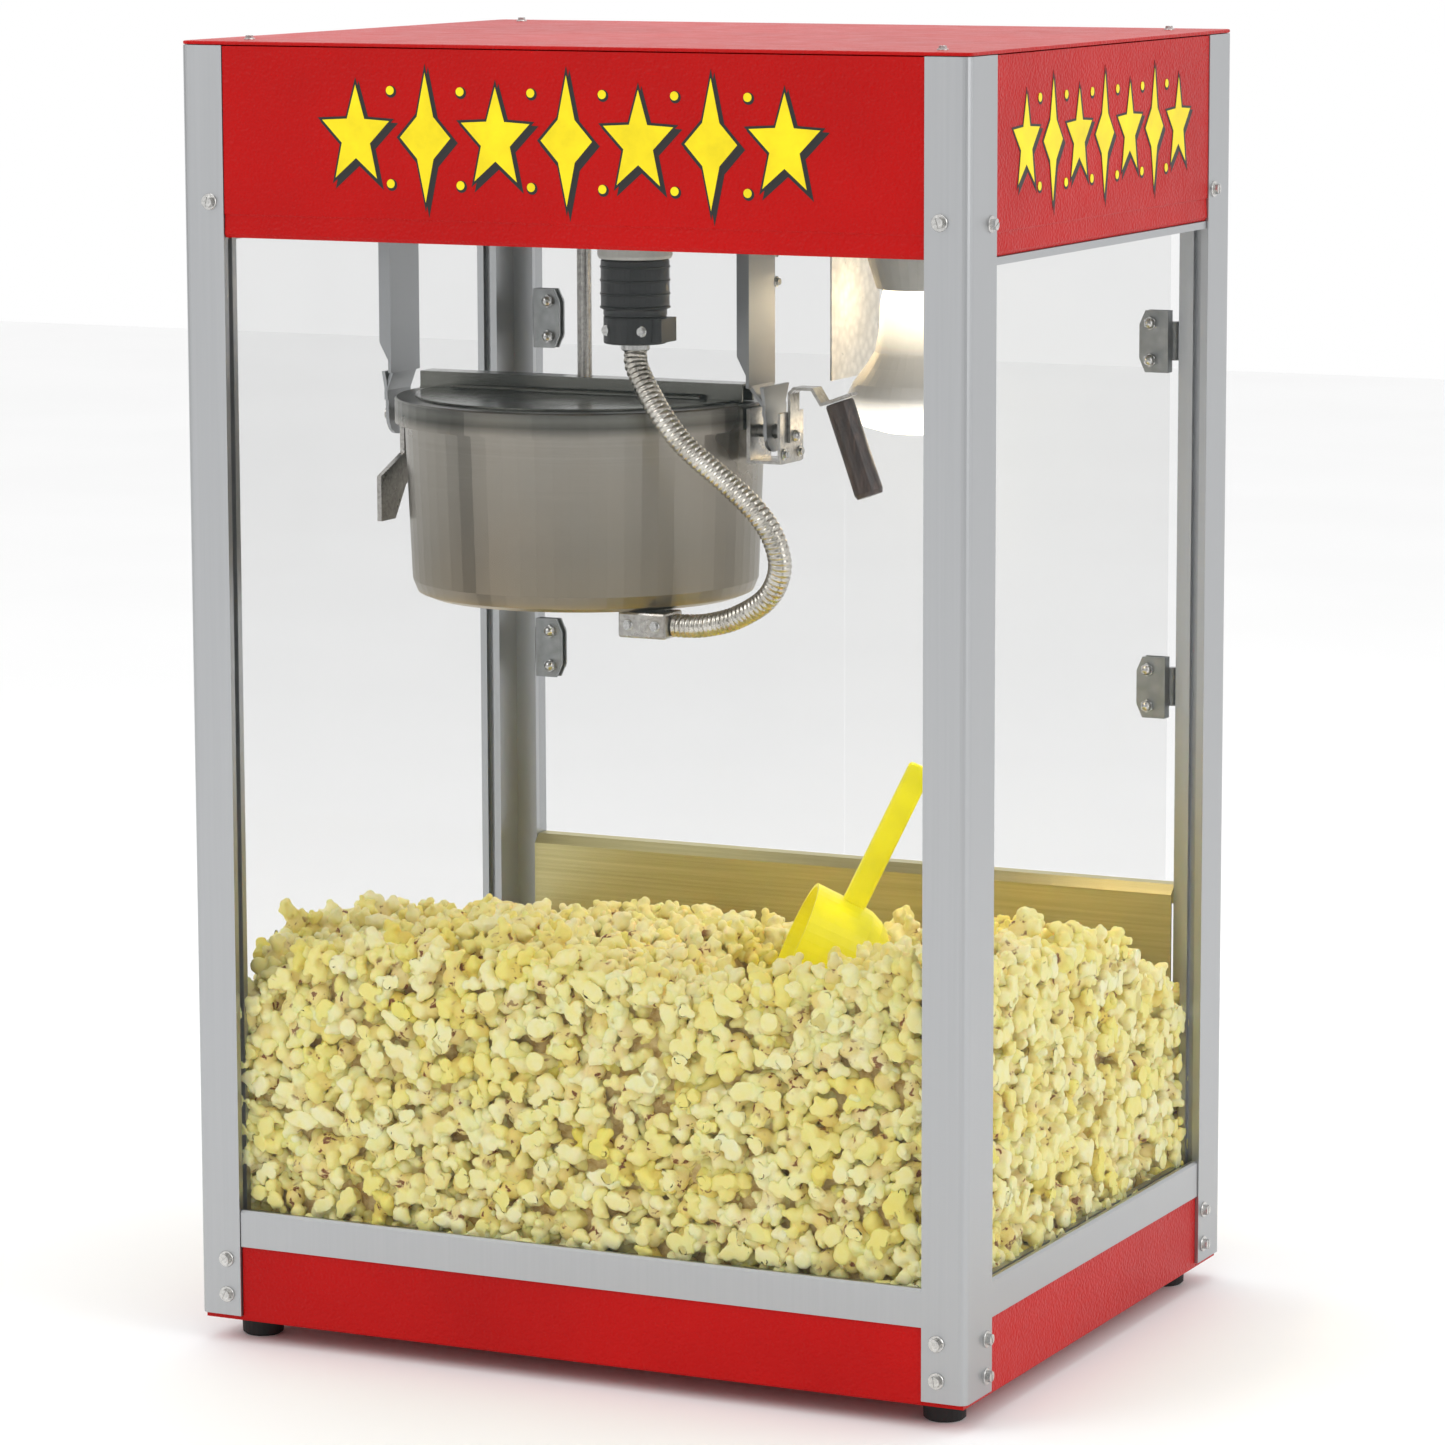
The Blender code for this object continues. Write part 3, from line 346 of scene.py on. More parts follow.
def grip():
    m = Shader("streaked_grip", (0.05, 0.03, 0.025), 0.38, Coat_Weight=0.3, Coat_Roughness=0.3)
    grain = m.noise(1, 6, 0.65, (260, 260, 26), 0.8)
    m.colour(m.ramp(grain, (0.28, (0.012, 0.008, 0.007)), (0.52, (0.045, 0.026, 0.020)),
                    (0.78, (0.16, 0.10, 0.075))))
    m.rough(m.grey(grain, 0.28, 0.5))
    return m.bump(grain, 0.00012, 0.5)


def bulb(face_z, neck_z):
    """Frosted lit face, silvered middle, and a glowing neck."""
    m = Shader("lamp_bulb", (0.9, 0.88, 0.84), 0.22, Emission_Color=(1, 0.93, 0.78, 1))
    height = m.grey(m.axis("Z"), 0, 1, face_z, neck_z)
    silver = m.ramp(height, (0.0, (1, 0.97, 0.90)), (0.20, (0.90, 0.88, 0.84)),
                    (0.34, (0.62, 0.60, 0.56)), (0.60, (0.90, 0.84, 0.74)),
                    (0.9, (1, 0.95, 0.82)))
    m.colour(m.mix(m.grey(m.noise(90, 3), 0, 0.2), silver, (0.8, 0.76, 0.70)))
    glow = m.ramp(height, (0.0, (1, 0.96, 0.88)), (0.14, (0.9, 0.85, 0.75)),
                  (0.26, (0.06, 0.055, 0.045)), (0.50, (0.10, 0.09, 0.07)),
                  (0.72, (0.8, 0.70, 0.5)), (0.95, (1, 0.92, 0.75)))
    m.link(glow, m.bsdf.inputs["Emission Color"])
    m.set("Emission Strength", 1.6)
    return m.bump(m.noise(500, 3), 0.00006, 0.3)


def popcorn():
    """Cream flakes with buttery patches, darker towards the heart and with bits of brown hull."""
    m = Shader("popcorn", (0.9, 0.8, 0.5), 0.62, Subsurface_Weight=0.2, Subsurface_Scale=0.004,
               Specular_IOR_Level=0.3)
    depth = m.attribute("depth").outputs["Fac"]
    butter = m.attribute("butter").outputs["Fac"]
    cream = m.mix(m.grey(m.noise(150, 4), 0, 0.9, 0.35, 0.75), (0.97, 0.93, 0.60),
                  (0.95, 0.86, 0.33))
    tinted = m.mix(butter, cream, (0.93, 0.80, 0.15))
    deep = m.mix(m.grey(depth, 0.65, 0, 0.20, 0.52), tinted, (0.74, 0.47, 0.08))
    hull = m.grey(m.noise(190, 3, 0.5, None, 0.5), 0, 1, 0.58, 0.64)
    low = m.grey(depth, 1, 0, 0.34, 0.58)
    both = m.nodes.new("ShaderNodeMath")
    both.operation = "MULTIPLY"
    m.link(hull, both.inputs[0])
    m.link(low, both.inputs[1])
    m.colour(m.mix(both.outputs[0], deep, (0.22, 0.07, 0.02)))
    m.rough(m.grey(m.noise(300, 4), 0.45, 0.75))
    return m.bump(m.noise(420, 5, 0.6), 0.0005, 0.5)


RED = powder_red()
ALU = satin_aluminium(tone=0.45)
STRAP_ALU = satin_aluminium("hanger_aluminium", 0.37, 0.40, (300, 8, 8))
DRUM = kettle_steel()
LID_STEEL = brushed_steel("lid_steel", (0.13, 0.13, 0.115), (0.19, 0.19, 0.17), 0.16, (6, 700, 6))
SHEET_STEEL = brushed_steel("sheet_steel", (0.34, 0.33, 0.31), (0.46, 0.45, 0.43), 0.30,
                            (6, 6, 500))
APRON = brushed_steel("apron_steel", (0.50, 0.44, 0.20), (0.64, 0.57, 0.28), 0.36, (5, 5, 420))
SMALL_STEEL = brushed_steel("fitting_steel", (0.32, 0.31, 0.29), (0.54, 0.52, 0.49), 0.26,
                            (400, 400, 400), (0.34, 0.27, 0.18))
BRIGHT = zinc("bright_zinc", (0.80, 0.76, 0.68), 0.30)
DARK_ZINC = zinc("hinge_zinc", (0.30, 0.31, 0.31), 0.42)
RUBBER = moulded("foot_rubber", (0.016, 0.016, 0.016), 0.75, 500)
BLACK = moulded("black_plastic", (0.012, 0.012, 0.013), 0.34)
SOCKET = moulded("socket_plastic", (0.50, 0.49, 0.46), 0.42)
# painted light: the scoop's plastic glows faintly yellow, though it is no lamp
YELLOW = moulded("scoop_plastic", (0.97, 0.90, 0.004), 0.30, 300, Specular_IOR_Level=0.35,
                 Emission_Color=(0.9, 0.82, 0.0, 1), Emission_Strength=0.12)
GLASS = clear_glass()
GRIP = grip()
POPCORN = popcorn()
BULB = bulb(lamp_lo.z, lamp_hi.z - 0.024)
FINISH = {
    RED: "base_pan sign_front sign_left sign_right top_cover switch_panel",
    ALU: "post_front_left post_front_right post_rear_left post_rear_right sill_front sill_left"
         " sill_right trim_left trim_right",
    STRAP_ALU: "hanger_left hanger_right",
    DRUM: "kettle_shell",
    SHEET_STEEL: "floor_deck canopy_floor crumb_drawer gear_motor",
    LID_STEEL: "lid_bar lid_front lid_rear",
    APRON: "rear_apron",
    SMALL_STEEL: "ear_left ear_right handle_strap junction_box stir_shaft agitator"
                 " drive_coupling",
    BRIGHT: "lamp_shield",
    DARK_ZINC: "hinge_low_left hinge_high_left hinge_low_right hinge_high_right",
    RUBBER: "foot_front_left foot_front_right foot_rear_left foot_rear_right",
    BLACK: "kettle_plug plug_clamp switch_heat switch_motor switch_light cord_inlet",
    SOCKET: "lamp_socket kettle_receptacle",
    YELLOW: "scoop",
    GLASS: "glass_front glass_left glass_right door_glass_left door_glass_right",
    GRIP: "handle_grip",
    BULB: "lamp_bulb",
}
for shader, names in FINISH.items():
    for name in names.split():
        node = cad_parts[name]
        node.data.materials.clear()
        node.data.materials.append(shader.material)

# ---- pieces ----


def piece(name, data, shader, body=ROOT, at=(0, 0, 0), turn=None):
    """A new piece that rides on a body."""
    obj = bpy.data.objects.new(name, data)
    obj.location = at
    if turn is not None:
        obj.rotation_euler = turn.to_euler()
    if shader and not data.materials:
        data.materials.append(shader.material)
    scene.collection.objects.link(obj)
    if body:
        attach(obj, body)
    return obj


def mesh_of(bm, name, smooth=35):
    mesh = bpy.data.meshes.new(name)
    bmesh.ops.recalc_face_normals(bm, faces=bm.faces)
    bm.to_mesh(mesh)
    bm.free()
    mesh.shade_smooth()
    mesh.set_sharp_from_angle(angle=math.radians(smooth))
    return mesh


def lathe(bm, profile, steps=32):
    """Turns a profile of (radius, height) round Z. Its ends lie on the axis or it is closed."""
    rings = []
    for r, z in profile:
        if r < 1e-7:
            rings.append([bm.verts.new((0, 0, z))])
        else:
            rings.append([bm.verts.new((r * math.cos(2 * math.pi * k / steps),
                                        r * math.sin(2 * math.pi * k / steps), z))
                          for k in range(steps)])
    pairs = list(zip(rings, rings[1:]))
    if len(rings[0]) > 1 and len(rings[-1]) > 1:
        pairs.append((rings[-1], rings[0]))
    for a, b in pairs:
        for k in range(steps):
            n = (k + 1) % steps
            face = [a[k % len(a)], a[n % len(a)], b[n % len(b)], b[k % len(b)]]
            bm.faces.new(list(dict.fromkeys(face)))


def facing(normal):
    return Vector((0, 0, 1)).rotation_difference(Vector(normal)).to_matrix()


# ---- the conduit: coiled strip, along the same route as its solid ----
ROUTE = [(-0.0140, -0.0840, 0.6155), (-0.0140, -0.0840, 0.6095), (-0.0140, -0.0840, 0.6025),
         (-0.0105, -0.0870, 0.5920), (0.0085, -0.0950, 0.5675), (0.0255, -0.0940, 0.5480),
         (0.0490, -0.0890, 0.5280), (0.0675, -0.0860, 0.5105), (0.0765, -0.0820, 0.4940),
         (0.0775, -0.0770, 0.4760), (0.0665, -0.0710, 0.4580), (0.0440, -0.0650, 0.4445),
         (0.0220, -0.0610, 0.4380), (0.0065, -0.0600, 0.4365), (0.0030, -0.0600, 0.4365),
         (-0.0003, -0.0600, 0.4365)]
CONDUIT, PITCH = 0.0145, 0.0034


def smooth(points, each):
    """Points along a Catmull-Rom curve through the given ones."""
    p = [Vector(q) for q in points]
    p = [2 * p[0] - p[1]] + p + [2 * p[-1] - p[-2]]
    line = []
    for a, b, c, d in zip(p, p[1:], p[2:], p[3:]):
        for k in range(each):
            t = k / each
            line.append(0.5 * (2 * b + (c - a) * t + (2 * a - 5 * b + 4 * c - d) * t * t
                               + (3 * b - a - 3 * c + d) * t ** 3))
    return line + [p[-2]]


def even(line, step):
    """The same line with points a step apart."""
    out, rest = [line[0]], step
    for a, b in zip(line, line[1:]):
        span = (b - a).length
        while rest <= span:
            out.append(a.lerp(b, rest / span))
            rest += step
        rest -= span
    return out


def coiled_tube(line, radius, pitch, sides=20):
    """A tube whose wall rises and falls in one long helix."""
    bm = bmesh.new()
    side = Vector((1, 0, 0))
    rings, gone = [], 0.0
    for i, at in enumerate(line):
        ahead = (line[min(i + 1, len(line) - 1)] - line[max(i - 1, 0)]).normalized()
        side = (side - side.dot(ahead) * ahead).normalized()
        other = ahead.cross(side)
        gone += (at - line[i - 1]).length if i else 0
        ring = []
        for k in range(sides):
            angle = 2 * math.pi * k / sides
            wave = abs(math.sin(math.pi * gone / pitch + angle / 2))
            r = radius * (0.86 + 0.14 * wave ** 0.6)
            ring.append(bm.verts.new(at + r * (math.cos(angle) * side + math.sin(angle) * other)))
        rings.append(ring)
    for a, b in zip(rings, rings[1:]):
        for k in range(sides):
            bm.faces.new((a[k], a[(k + 1) % sides], b[(k + 1) % sides], b[k]))
    bm.faces.new(rings[0][::-1])
    bm.faces.new(rings[-1])
    return mesh_of(bm, "conduit_coil", 60)


def conduit_steel():
    m = Shader("conduit_steel", (0.70, 0.67, 0.60), 0.2, 1.0)
    m.colour(m.ramp(m.noise(60, 4), (0.35, (0.52, 0.49, 0.43)), (0.7, (0.78, 0.75, 0.68))))
    m.rough(m.grey(m.noise(300, 3), 0.14, 0.34))
    return m.bump(m.noise(900, 3), 0.00006, 0.4)


route = smooth(ROUTE, 12)
conduit = piece("conduit_coil", coiled_tube(even(route, 0.00062), CONDUIT / 2, PITCH),
                conduit_steel(), None)
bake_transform(conduit)
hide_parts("conduit")

# ---- popcorn ----
KERNEL = 0.0135  # usual radius of a popped kernel
seeds = random.Random(11)


def flake(seed):
    """One popped kernel as arrays: points, faces, and how far out each point lies."""
    rng = random.Random(seed)
    bm = bmesh.new()

    def lobe(at, radius):
        bmesh.ops.create_icosphere(bm, subdivisions=2, radius=radius,
                                   matrix=Matrix.Translation(at))

    lobe((0, 0, 0), 0.0060)
    for k in range(rng.randint(5, 8)):
        way = Vector((rng.gauss(0, 1), rng.gauss(0, 1), rng.gauss(0, 0.7))).normalized()
        out = way * rng.uniform(0.0066, 0.0100)
        lobe(out, rng.uniform(0.0034, 0.0052))
        for _ in range(rng.randint(2, 4)):
            turn = Vector((rng.gauss(0, 1), rng.gauss(0, 1), rng.gauss(0, 1))).normalized()
            lobe(out + turn * 0.0040 + way * 0.0016, rng.uniform(0.0017, 0.0029))
    mesh = bpy.data.meshes.new("flake")
    bm.to_mesh(mesh)
    bm.free()
    obj = bpy.data.objects.new("flake", mesh)
    scene.collection.objects.link(obj)
    remesh = obj.modifiers.new("skin", "REMESH")
    remesh.mode, remesh.voxel_size = "VOXEL", 0.0009
    ease = obj.modifiers.new("ease", "SMOOTH")
    ease.factor, ease.iterations = 0.5, 1
    fewer = obj.modifiers.new("fewer", "DECIMATE")
    fewer.ratio = 0.15
    graph = bpy.context.evaluated_depsgraph_get()
    out = bpy.data.meshes.new_from_object(obj.evaluated_get(graph))
    bpy.data.objects.remove(obj)
    bm = bmesh.new()
    bm.from_mesh(out)
    bmesh.ops.triangulate(bm, faces=bm.faces)
    points = np.array([v.co[:] for v in bm.verts])
    faces = np.array([[v.index for v in f.verts] for f in bm.faces])
    bm.free()
    bpy.data.meshes.remove(out)
    reach = np.linalg.norm(points, axis=1)
    return points, faces, reach / reach.max()


flakes = [flake(100 + k) for k in range(16)]
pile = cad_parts["popcorn_pile"]
pile_lo, pile_hi = corners("popcorn_pile")
tree = BVHTree.FromPolygons([v.co for v in pile.data.vertices],
                            [p.vertices for p in pile.data.polygons])


def surface(x, y):
    hit = tree.ray_cast(Vector((x, y, pile_hi.z + 0.05)), Vector((0, 0, -1)))[0]
    return hit.z if hit else pile_lo.z


glass_in = corners("glass_right")[0].x, -corners("glass_front")[1].y
ROOM = (Vector((-glass_in[0] + 0.0002, -glass_in[1] + 0.0002, pile_lo.z)),
        Vector((glass_in[0] - 0.0002, corners("rear_apron")[0].y - 0.0003, 1)))
scoop_turn = Vector((-0.80, -0.42, 0.42)).normalized()
cup_low = Vector((0.106, 0.0125, POST_LOW + 0.199))
CUP_R, CUP_DEEP = 0.0362, 0.0615
DIP = 0.010  # how much lower kernels lie before the cup
DIP_WIDE, DIP_BEHIND, DIP_AHEAD = 0.050, 0.03, 0.085
AGAINST_CUP = 110  # kernels heaped against it


def clear_of_cup(points):
    """Moves points that would be in the scoop's cup out to its side."""
    axis, start = np.array(scoop_turn), np.array(cup_low)
    along = (points - start) @ axis
    foot = start + along[:, None] * axis
    away = points - foot
    far = np.linalg.norm(away, axis=1)
    ball = np.clip(along / CUP_R, 0, 1)
    radius = np.where(along < CUP_R, CUP_R * np.sqrt(np.clip(1 - (1 - ball) ** 2, 0, 1)), CUP_R)
    inside = (along > -0.001) & (along < CUP_DEEP) & (far < radius + 0.0006)
    scale = np.where(inside, (radius + 0.0006) / np.maximum(far, 1e-5), 1)
    return foot + away * scale[:, None]


class Heap:
    """Kernels gathered into one mesh."""

    def __init__(self):
        self.points, self.faces, self.depth, self.butter, self.count = [], [], [], [], 0

    def add(self, at, size=1.0, rng=seeds):
        points, faces, depth = flakes[rng.randrange(len(flakes))]
        turn = Matrix.Rotation(rng.uniform(0, 2 * math.pi), 3,
                               Vector((rng.gauss(0, 1), rng.gauss(0, 1), rng.gauss(0, 1))))
        spot = points @ np.array(turn).T * size * rng.uniform(0.86, 1.14) + np.array(at)
        spot = clear_of_cup(np.clip(spot, np.array(ROOM[0]), np.array(ROOM[1])))
        self.points.append(spot)
        self.faces.append(faces + self.count)
        self.depth.append(depth)
        self.butter.append(np.full(len(depth), rng.betavariate(1.3, 2.2)))
        self.count += len(points)

    def build(self, name):
        mesh = bpy.data.meshes.new(name)
        points, faces = np.concatenate(self.points), np.concatenate(self.faces)
        mesh.from_pydata(points.tolist(), [], faces.tolist())
        for key, values in (("depth", self.depth), ("butter", self.butter)):
            layer = mesh.attributes.new(key, "FLOAT", "POINT")
            layer.data.foreach_set("value", np.concatenate(values))
        mesh.shade_smooth()
        return piece(name, mesh, POPCORN)


STEP = 0.0185


def grid(lo, hi, step):
    count = max(1, round((hi - lo) / step))
    return [lo + (hi - lo) * (k + 0.5) / count for k in range(count)]


def in_cup(at, margin=0.006):
    rel = Vector(at) - cup_low
    along = rel.dot(scoop_turn)
    return (-margin < along < CUP_DEEP + 0.016
            and (rel - along * scoop_turn).length < CUP_R + margin)


def wobble(amount):
    return seeds.uniform(-amount, amount)


toward = Vector((math.sin(AZIMUTH), -math.cos(AZIMUTH), 0))
across = toward.cross(Vector((0, 0, 1)))
heaps = {}
inset = KERNEL * 0.72
for name, fixed, lo, hi in (("popcorn_front", -glass_in[1] + inset, ROOM[0].x, ROOM[1].x),
                            ("popcorn_left", -glass_in[0] + inset, ROOM[0].y, ROOM[1].y),
                            ("popcorn_right", glass_in[0] - inset, ROOM[0].y, ROOM[1].y)):
    heap = heaps[name] = Heap()
    for u in grid(lo + 0.004, hi - 0.004, STEP):
        x, y = (u, fixed) if name == "popcorn_front" else (fixed, u)
        top = surface(max(min(x, pile_hi.x - 0.004), pile_lo.x + 0.004),
                      max(min(y, pile_hi.y - 0.004), pile_lo.y + 0.004))
        for z in grid(pile_lo.z + 0.004, top + 0.002, STEP * 0.92):
            for deep in (0, 0.010):
                dx, dy = (wobble(0.004), deep) if name == "popcorn_front" else (
                    -deep if x > 0 else deep, wobble(0.004))
                heap.add((x + dx, y + dy, z + wobble(0.004)), 1.08)
top_heap = heaps["popcorn_top"] = Heap()
for x in grid(pile_lo.x, pile_hi.x, STEP):
    for y in grid(pile_lo.y, pile_hi.y, STEP):
        px, py = x + wobble(0.005), y + wobble(0.005)
        z = surface(min(max(px, pile_lo.x + 0.003), pile_hi.x - 0.003),
                    min(max(py, pile_lo.y + 0.003), pile_hi.y - 0.003))
        from_cup = Vector((px, py, cup_low.z)) - cup_low
        in_front = (abs(from_cup.dot(across)) < DIP_WIDE
                    and -DIP_BEHIND < from_cup.dot(toward) < DIP_AHEAD)
        for lift in (-0.002 + wobble(0.003), 0.006 + wobble(0.004)):
            if lift > 0.003 and (in_front or seeds.random() < 0.45):
                continue
            lift -= DIP if in_front else 0
            if not in_cup((px, py, z + lift)):
                top_heap.add((px, py, z + lift))
for k in range(AGAINST_CUP):
    angle, along = seeds.uniform(0, 2 * math.pi), seeds.uniform(-0.01, CUP_DEEP + 0.03)
    way = Vector((math.cos(angle), math.sin(angle), 0))
    at = cup_low + scoop_turn * along + way * seeds.uniform(0.030, 0.052)
    at.z = surface(at.x, at.y) + seeds.uniform(0.0, 0.012)
    if (at - cup_low).dot(toward) < 0.004 and not in_cup(at, 0.004) and at.z < cup_low.z + 0.012:
        top_heap.add(at, 0.95)
for name, heap in heaps.items():
    obj = heap.build(name)
    if name == "popcorn_top":
        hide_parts("popcorn_pile")


def core():
    """What shows between the kernels: the pile again, a little smaller, in a darker, browner colour
    that is painted shade.
    """
    bm = bmesh.new()
    bm.from_mesh(pile.data)
    middle = (pile_lo + pile_hi) / 2
    for v in bm.verts:
        v.co.x = middle.x + (v.co.x - middle.x) * 0.965
        v.co.y = middle.y + (v.co.y - middle.y) * 0.960
        if v.co.z > pile_lo.z + 0.02:
            v.co.z -= 0.007
    # painted shade: the core is coloured darker and browner than the kernels, standing in for the
    # shade deep between them
    m = Shader("popcorn_shaded_core", (0.72, 0.55, 0.22), 0.8)
    m.colour(m.ramp(m.noise(120, 5), (0.35, (0.48, 0.30, 0.08)), (0.65, (0.85, 0.70, 0.36))))
    m.bump(m.noise(110, 4), 0.004, 1)
    return piece("popcorn_shaded_core", mesh_of(bm, "popcorn_shaded_core"), m)


core()

# ---- ornament on the sign: stars and lozenges with a dropped shadow ----
YELLOW_PAINT = moulded("yellow_paint", (0.93, 0.74, 0.004), 0.4, 700, Specular_IOR_Level=0.3)
BLACK_PAINT = moulded("black_paint", (0.006, 0.006, 0.006), 0.45, 700)


def star(points, tall, wide, waist):
    """A star outline that may be drawn out upwards."""
    out = []
    for k in range(2 * points):
        r, a = (1 if k % 2 == 0 else waist), math.pi / 2 + math.pi * k / points
        out.append((0.5 * wide * r * math.cos(a), 0.5 * tall * r * math.sin(a)))
    return out


def plate(bm, outline, at, turn, thick, grow=1.0, shift=(0, 0)):
    """A flat shape that stands thick proud of a panel."""
    bottom = [bm.verts.new(at + turn @ Vector((grow * x + shift[0], grow * y + shift[1], 0)))
              for x, y in outline]
    top = bm.faces.new(bottom)
    solid = bmesh.ops.extrude_face_region(bm, geom=[top])["geom"]
    bmesh.ops.translate(bm, vec=turn @ Vector((0, 0, thick)),
                        verts=[v for v in solid if isinstance(v, bmesh.types.BMVert)])


SIGN_MID = POST_LOW + 0.7175
ORNAMENTS = 7
for name, normal, middle, span, tall in (
        ("front", (0, -1, 0), (0.002, -HY + 0.0006), 0.322, 0.075),
        ("left", (-1, 0, 0), (-HX + 0.0006, -0.004), 0.276, 0.070),
        ("right", (1, 0, 0), (HX - 0.0006, -0.004), 0.276, 0.070)):
    out = Vector(normal)
    turn = Matrix((Vector((0, 0, 1)).cross(out), Vector((0, 0, 1)), out)).transposed()
    faces, shadows = bmesh.new(), bmesh.new()
    pitch = span / ORNAMENTS
    for k in range(ORNAMENTS):
        along = turn @ Vector(((k - (ORNAMENTS - 1) / 2) * pitch, 0, 0))
        at = Vector((*middle, SIGN_MID)) + along
        outline = star(5, tall * 0.80, pitch * 1.02, 0.42) if k % 2 == 0 else star(
            4, tall, pitch * 0.72, 0.46)
        plate(shadows, outline, at, turn, 0.00012, 1.16, (0.0022, -0.0026))
        plate(shadows, outline, at, turn, 0.00020, 1.14)
        plate(faces, outline, at, turn, 0.00034)
        if k < ORNAMENTS - 1:
            between = at + turn @ Vector((pitch / 2, 0, 0))
            for up in (-0.36, 0.36):
                dot = [(0.0026 * math.cos(t * math.pi / 8), 0.0026 * math.sin(t * math.pi / 8))
                       for t in range(16)]
                spot = between + Vector((0, 0, up * tall))
                plate(shadows, dot, spot, turn, 0.00016, 1.35, (0.0006, -0.0007))
                plate(faces, dot, spot, turn, 0.00034)
    piece(f"ornament_shadow_{name}", mesh_of(shadows, "shadow"), BLACK_PAINT)
    piece(f"ornament_{name}", mesh_of(faces, "ornament"), YELLOW_PAINT)

# ---- fasteners ----
SCREW = brushed_steel("screw_steel", (0.42, 0.42, 0.41), (0.70, 0.69, 0.67), 0.24, (500, 500, 500))


def hex_head(radius, high, slot=True):
    """A hex washer head with a slot across it."""
    bm = bmesh.new()
    lathe(bm, [(0, 0), (radius, 0), (radius, high * 0.22), (radius * 0.94, high * 0.34),
               (0, high * 0.34)], 28)
    flat = radius * 0.70
    half = high * 0.66
    bmesh.ops.create_cone(bm, cap_ends=True, segments=6, radius1=flat, radius2=flat * 0.97,
                          depth=high * 0.68, matrix=Matrix.Translation((0, 0, half)))
    for side in ((-1, 1) if slot else ()):
        rim = [(flat * 0.86 * math.cos(t), side * flat * 0.86 * abs(math.sin(t)) + side * 0.0004)
               for t in (math.pi * k / 8 for k in range(9))]
        plate(bm, rim, Vector((0, 0, high * 0.99)), Matrix.Identity(3), high * 0.12)
    return mesh_of(bm, "hex_head")


def acorn(radius, high):
    """A hex nut with a domed cap."""
    bm = bmesh.new()
    bmesh.ops.create_cone(bm, cap_ends=True, segments=6, radius1=radius, radius2=radius,
                          depth=high * 0.45, matrix=Matrix.Translation((0, 0, high * 0.225)))
    dome = [(radius * 0.86 * math.cos(a), high * (0.40 + 0.60 * math.sin(a)))
            for a in (math.pi / 2 * k / 6 for k in range(6))]
    lathe(bm, [(0, high * 0.40)] + dome + [(0, high)], 20)
    return mesh_of(bm, "acorn")


head, small_head = hex_head(0.0050, 0.0034), hex_head(0.0034, 0.0022)
flat_head = hex_head(0.0028, 0.0009)
dome = acorn(0.0042, 0.0058)
IN_X, IN_Y = LEG_X - 0.0095, LEG_Y - 0.0085  # how far in from a corner the screws stand
for sx, sy, corner in ((-1, -1, "front_left"), (1, -1, "front_right"), (-1, 1, "rear_left"),
                       (1, 1, "rear_right")):
    for level, z in (("low", 0.013), ("mid", 0.035), ("high", 0.677)):
        for face, at, normal in (
                ("x", (sx * HX, sy * (HY - IN_Y), POST_LOW + z - 0.002), (sx, 0, 0)),
                ("y", (sx * (HX - IN_X), sy * HY, POST_LOW + z), (0, sy, 0))):
            tilt = facing(normal) @ Matrix.Rotation(seeds.uniform(0, math.pi), 3, "Z")
            piece(f"screw_{corner}_{level}_{face}", head, SCREW, ROOT, at, tilt)

# ---- hinges: nuts on the inner side of the clips and flat screws on the outer side ----
HINGE_NUT = 0.0115  # from the middle of a clip, up and down
for side, s in (("left", -1), ("right", 1)):
    for level in ("low", "high"):
        lo, hi = corners(f"hinge_{level}_{side}")
        middle = (lo + hi) / 2
        clip_x = middle.x - s * 0.0035
        for up in (-HINGE_NUT, HINGE_NUT):
            tag = f"{level}_{side}_{'down' if up < 0 else 'up'}"
            front = (clip_x, lo.y, middle.z + up)
            piece(f"hinge_nut_{tag}", dome, SCREW, f"door_{side}", front, facing((0, -1, 0)))
            rear = (clip_x - s * 0.0045, corners(f"door_glass_{side}")[1].y + 0.0019, middle.z + up)
            piece(f"hinge_screw_{tag}", flat_head, SCREW, f"door_{side}", rear,
                  facing((0, 1, 0)))

# ---- small fittings ----


def turned_piece(name, profile, shader, body, at, normal=(0, 0, 1), steps=32):
    bm = bmesh.new()
    lathe(bm, profile, steps)
    return piece(name, mesh_of(bm, name), shader, body, at, facing(normal))


def sleeve(inner, outer, high):
    """Profile of a ring with eased edges."""
    ease = min(0.0006, high / 4)
    return [(inner, 0), (outer - ease, 0), (outer, ease), (outer, high - ease),
            (outer - ease, high), (inner, high)]


plug_lo, plug_hi = corners("kettle_plug")
plug_mid = (plug_lo + plug_hi) / 2
plug_r = (plug_hi.x - plug_lo.x) / 2
PLUG_RINGS = (0.004, 0.012, 0.020, 0.028)  # above the plug's lower end
for k, z in enumerate(PLUG_RINGS):
    turned_piece(f"plug_ring_{k + 1}", sleeve(plug_r - 0.0006, plug_r + 0.0006, 0.0014), BLACK, ROOT,
                 (plug_mid.x, plug_mid.y, plug_lo.z + z))
clamp_lo, clamp_hi = corners("plug_clamp")
clamp_z = (clamp_lo.z + clamp_hi.z) / 2
CLAMP_SCREW = 0.0115  # from the plug's axis
for name, x in (("left", -CLAMP_SCREW), ("right", CLAMP_SCREW)):
    piece(f"clamp_screw_{name}", small_head, SCREW, ROOT,
          (plug_mid.x + x, clamp_lo.y + 0.0042, clamp_z), facing((0, -1, 0)))
turned_piece("clamp_ferrule", sleeve(CONDUIT / 2 + 0.0002, CONDUIT / 2 + 0.0014, 0.004), SCREW,
             ROOT, (plug_mid.x, plug_mid.y, clamp_lo.z - 0.0042))

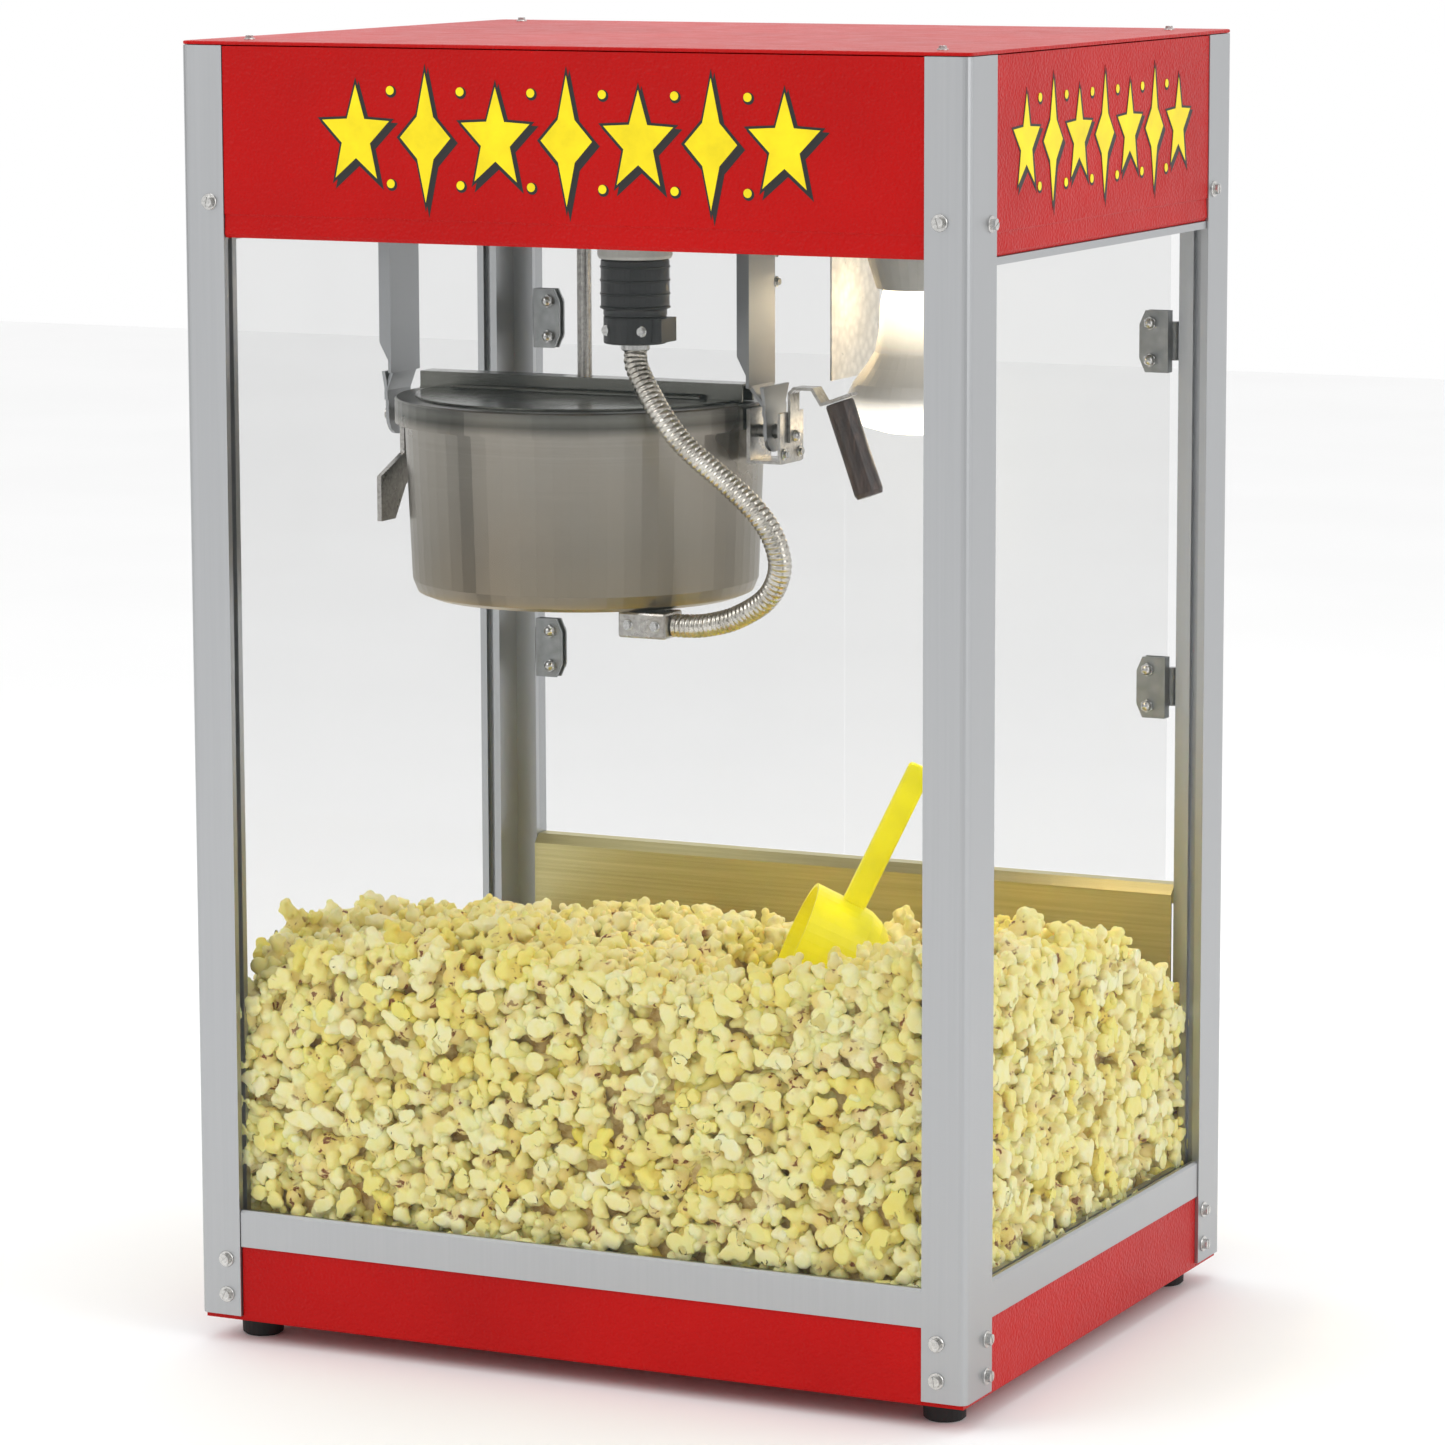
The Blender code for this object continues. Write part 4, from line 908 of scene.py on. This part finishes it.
RIVETS = (0.014, 0.032)  # below the hanger's top
for side, s in (("left", -1), ("right", 1)):
    hang_lo, hang_hi = corners(f"hanger_{side}")
    face_x = hang_lo.x if s < 0 else hang_hi.x
    middle = (hang_lo.y + hang_hi.y) / 2
    for k, up in enumerate(RIVETS):
        piece(f"hanger_rivet_{side}_{k + 1}", small_head, SCREW, ROOT,
              (face_x, middle, hang_hi.z - up), facing((s, 0, 0)))

ear_lo, ear_hi = corners("ear_right")
piece("ear_nut", dome, SCREW, "kettle", (ear_hi.x, 0, (ear_lo.z + ear_hi.z) / 2), facing((1, 0, 0)))
for k, y in enumerate((-0.011, 0.011)):
    piece(f"ear_rivet_{k + 1}", small_head, SCREW, "kettle", (ear_hi.x, y, ear_lo.z + 0.006),
          facing((1, 0, 0)))
box_lo, box_hi = corners("junction_box")
for k, x in enumerate((0.007, 0.025)):
    piece(f"junction_screw_{k + 1}", small_head, SCREW, "kettle",
          (box_lo.x + x, box_lo.y, (box_lo.z + box_hi.z) / 2), facing((0, -1, 0)))

COVER_Z = corners("top_cover")[1].z
COVER_IN = 0.03  # edge of the cover to its screws
cover_spots = [(sx * (HX - COVER_IN), sy * (HY - COVER_IN)) for sx in (-1, 1) for sy in (-1, 1)]
for k, (x, y) in enumerate(cover_spots):
    piece(f"cover_screw_{k + 1}", small_head, SCREW, ROOT, (x, y, COVER_Z), facing((0, 0, 1)))
panel_hi = corners("switch_panel")[1]
for k, x in enumerate((-0.19, -0.06, 0.06, 0.19)):
    piece(f"panel_screw_{k + 1}", small_head, SCREW, ROOT, (x, panel_hi.y, panel_hi.z - 0.010),
          facing((0, 1, 0)))

# ---- floor ----
bm = bmesh.new()
bmesh.ops.create_grid(bm, x_segments=1, y_segments=1, size=6)
floor_mat = Shader("floor", (0.97, 0.97, 0.97), 0.7)
floor_mat.colour(floor_mat.ramp(floor_mat.noise(2, 2), (0.4, (0.965, 0.965, 0.965)),
                                (0.6, (0.98, 0.98, 0.98))))
floor = piece("floor", mesh_of(bm, "floor"), floor_mat, None)
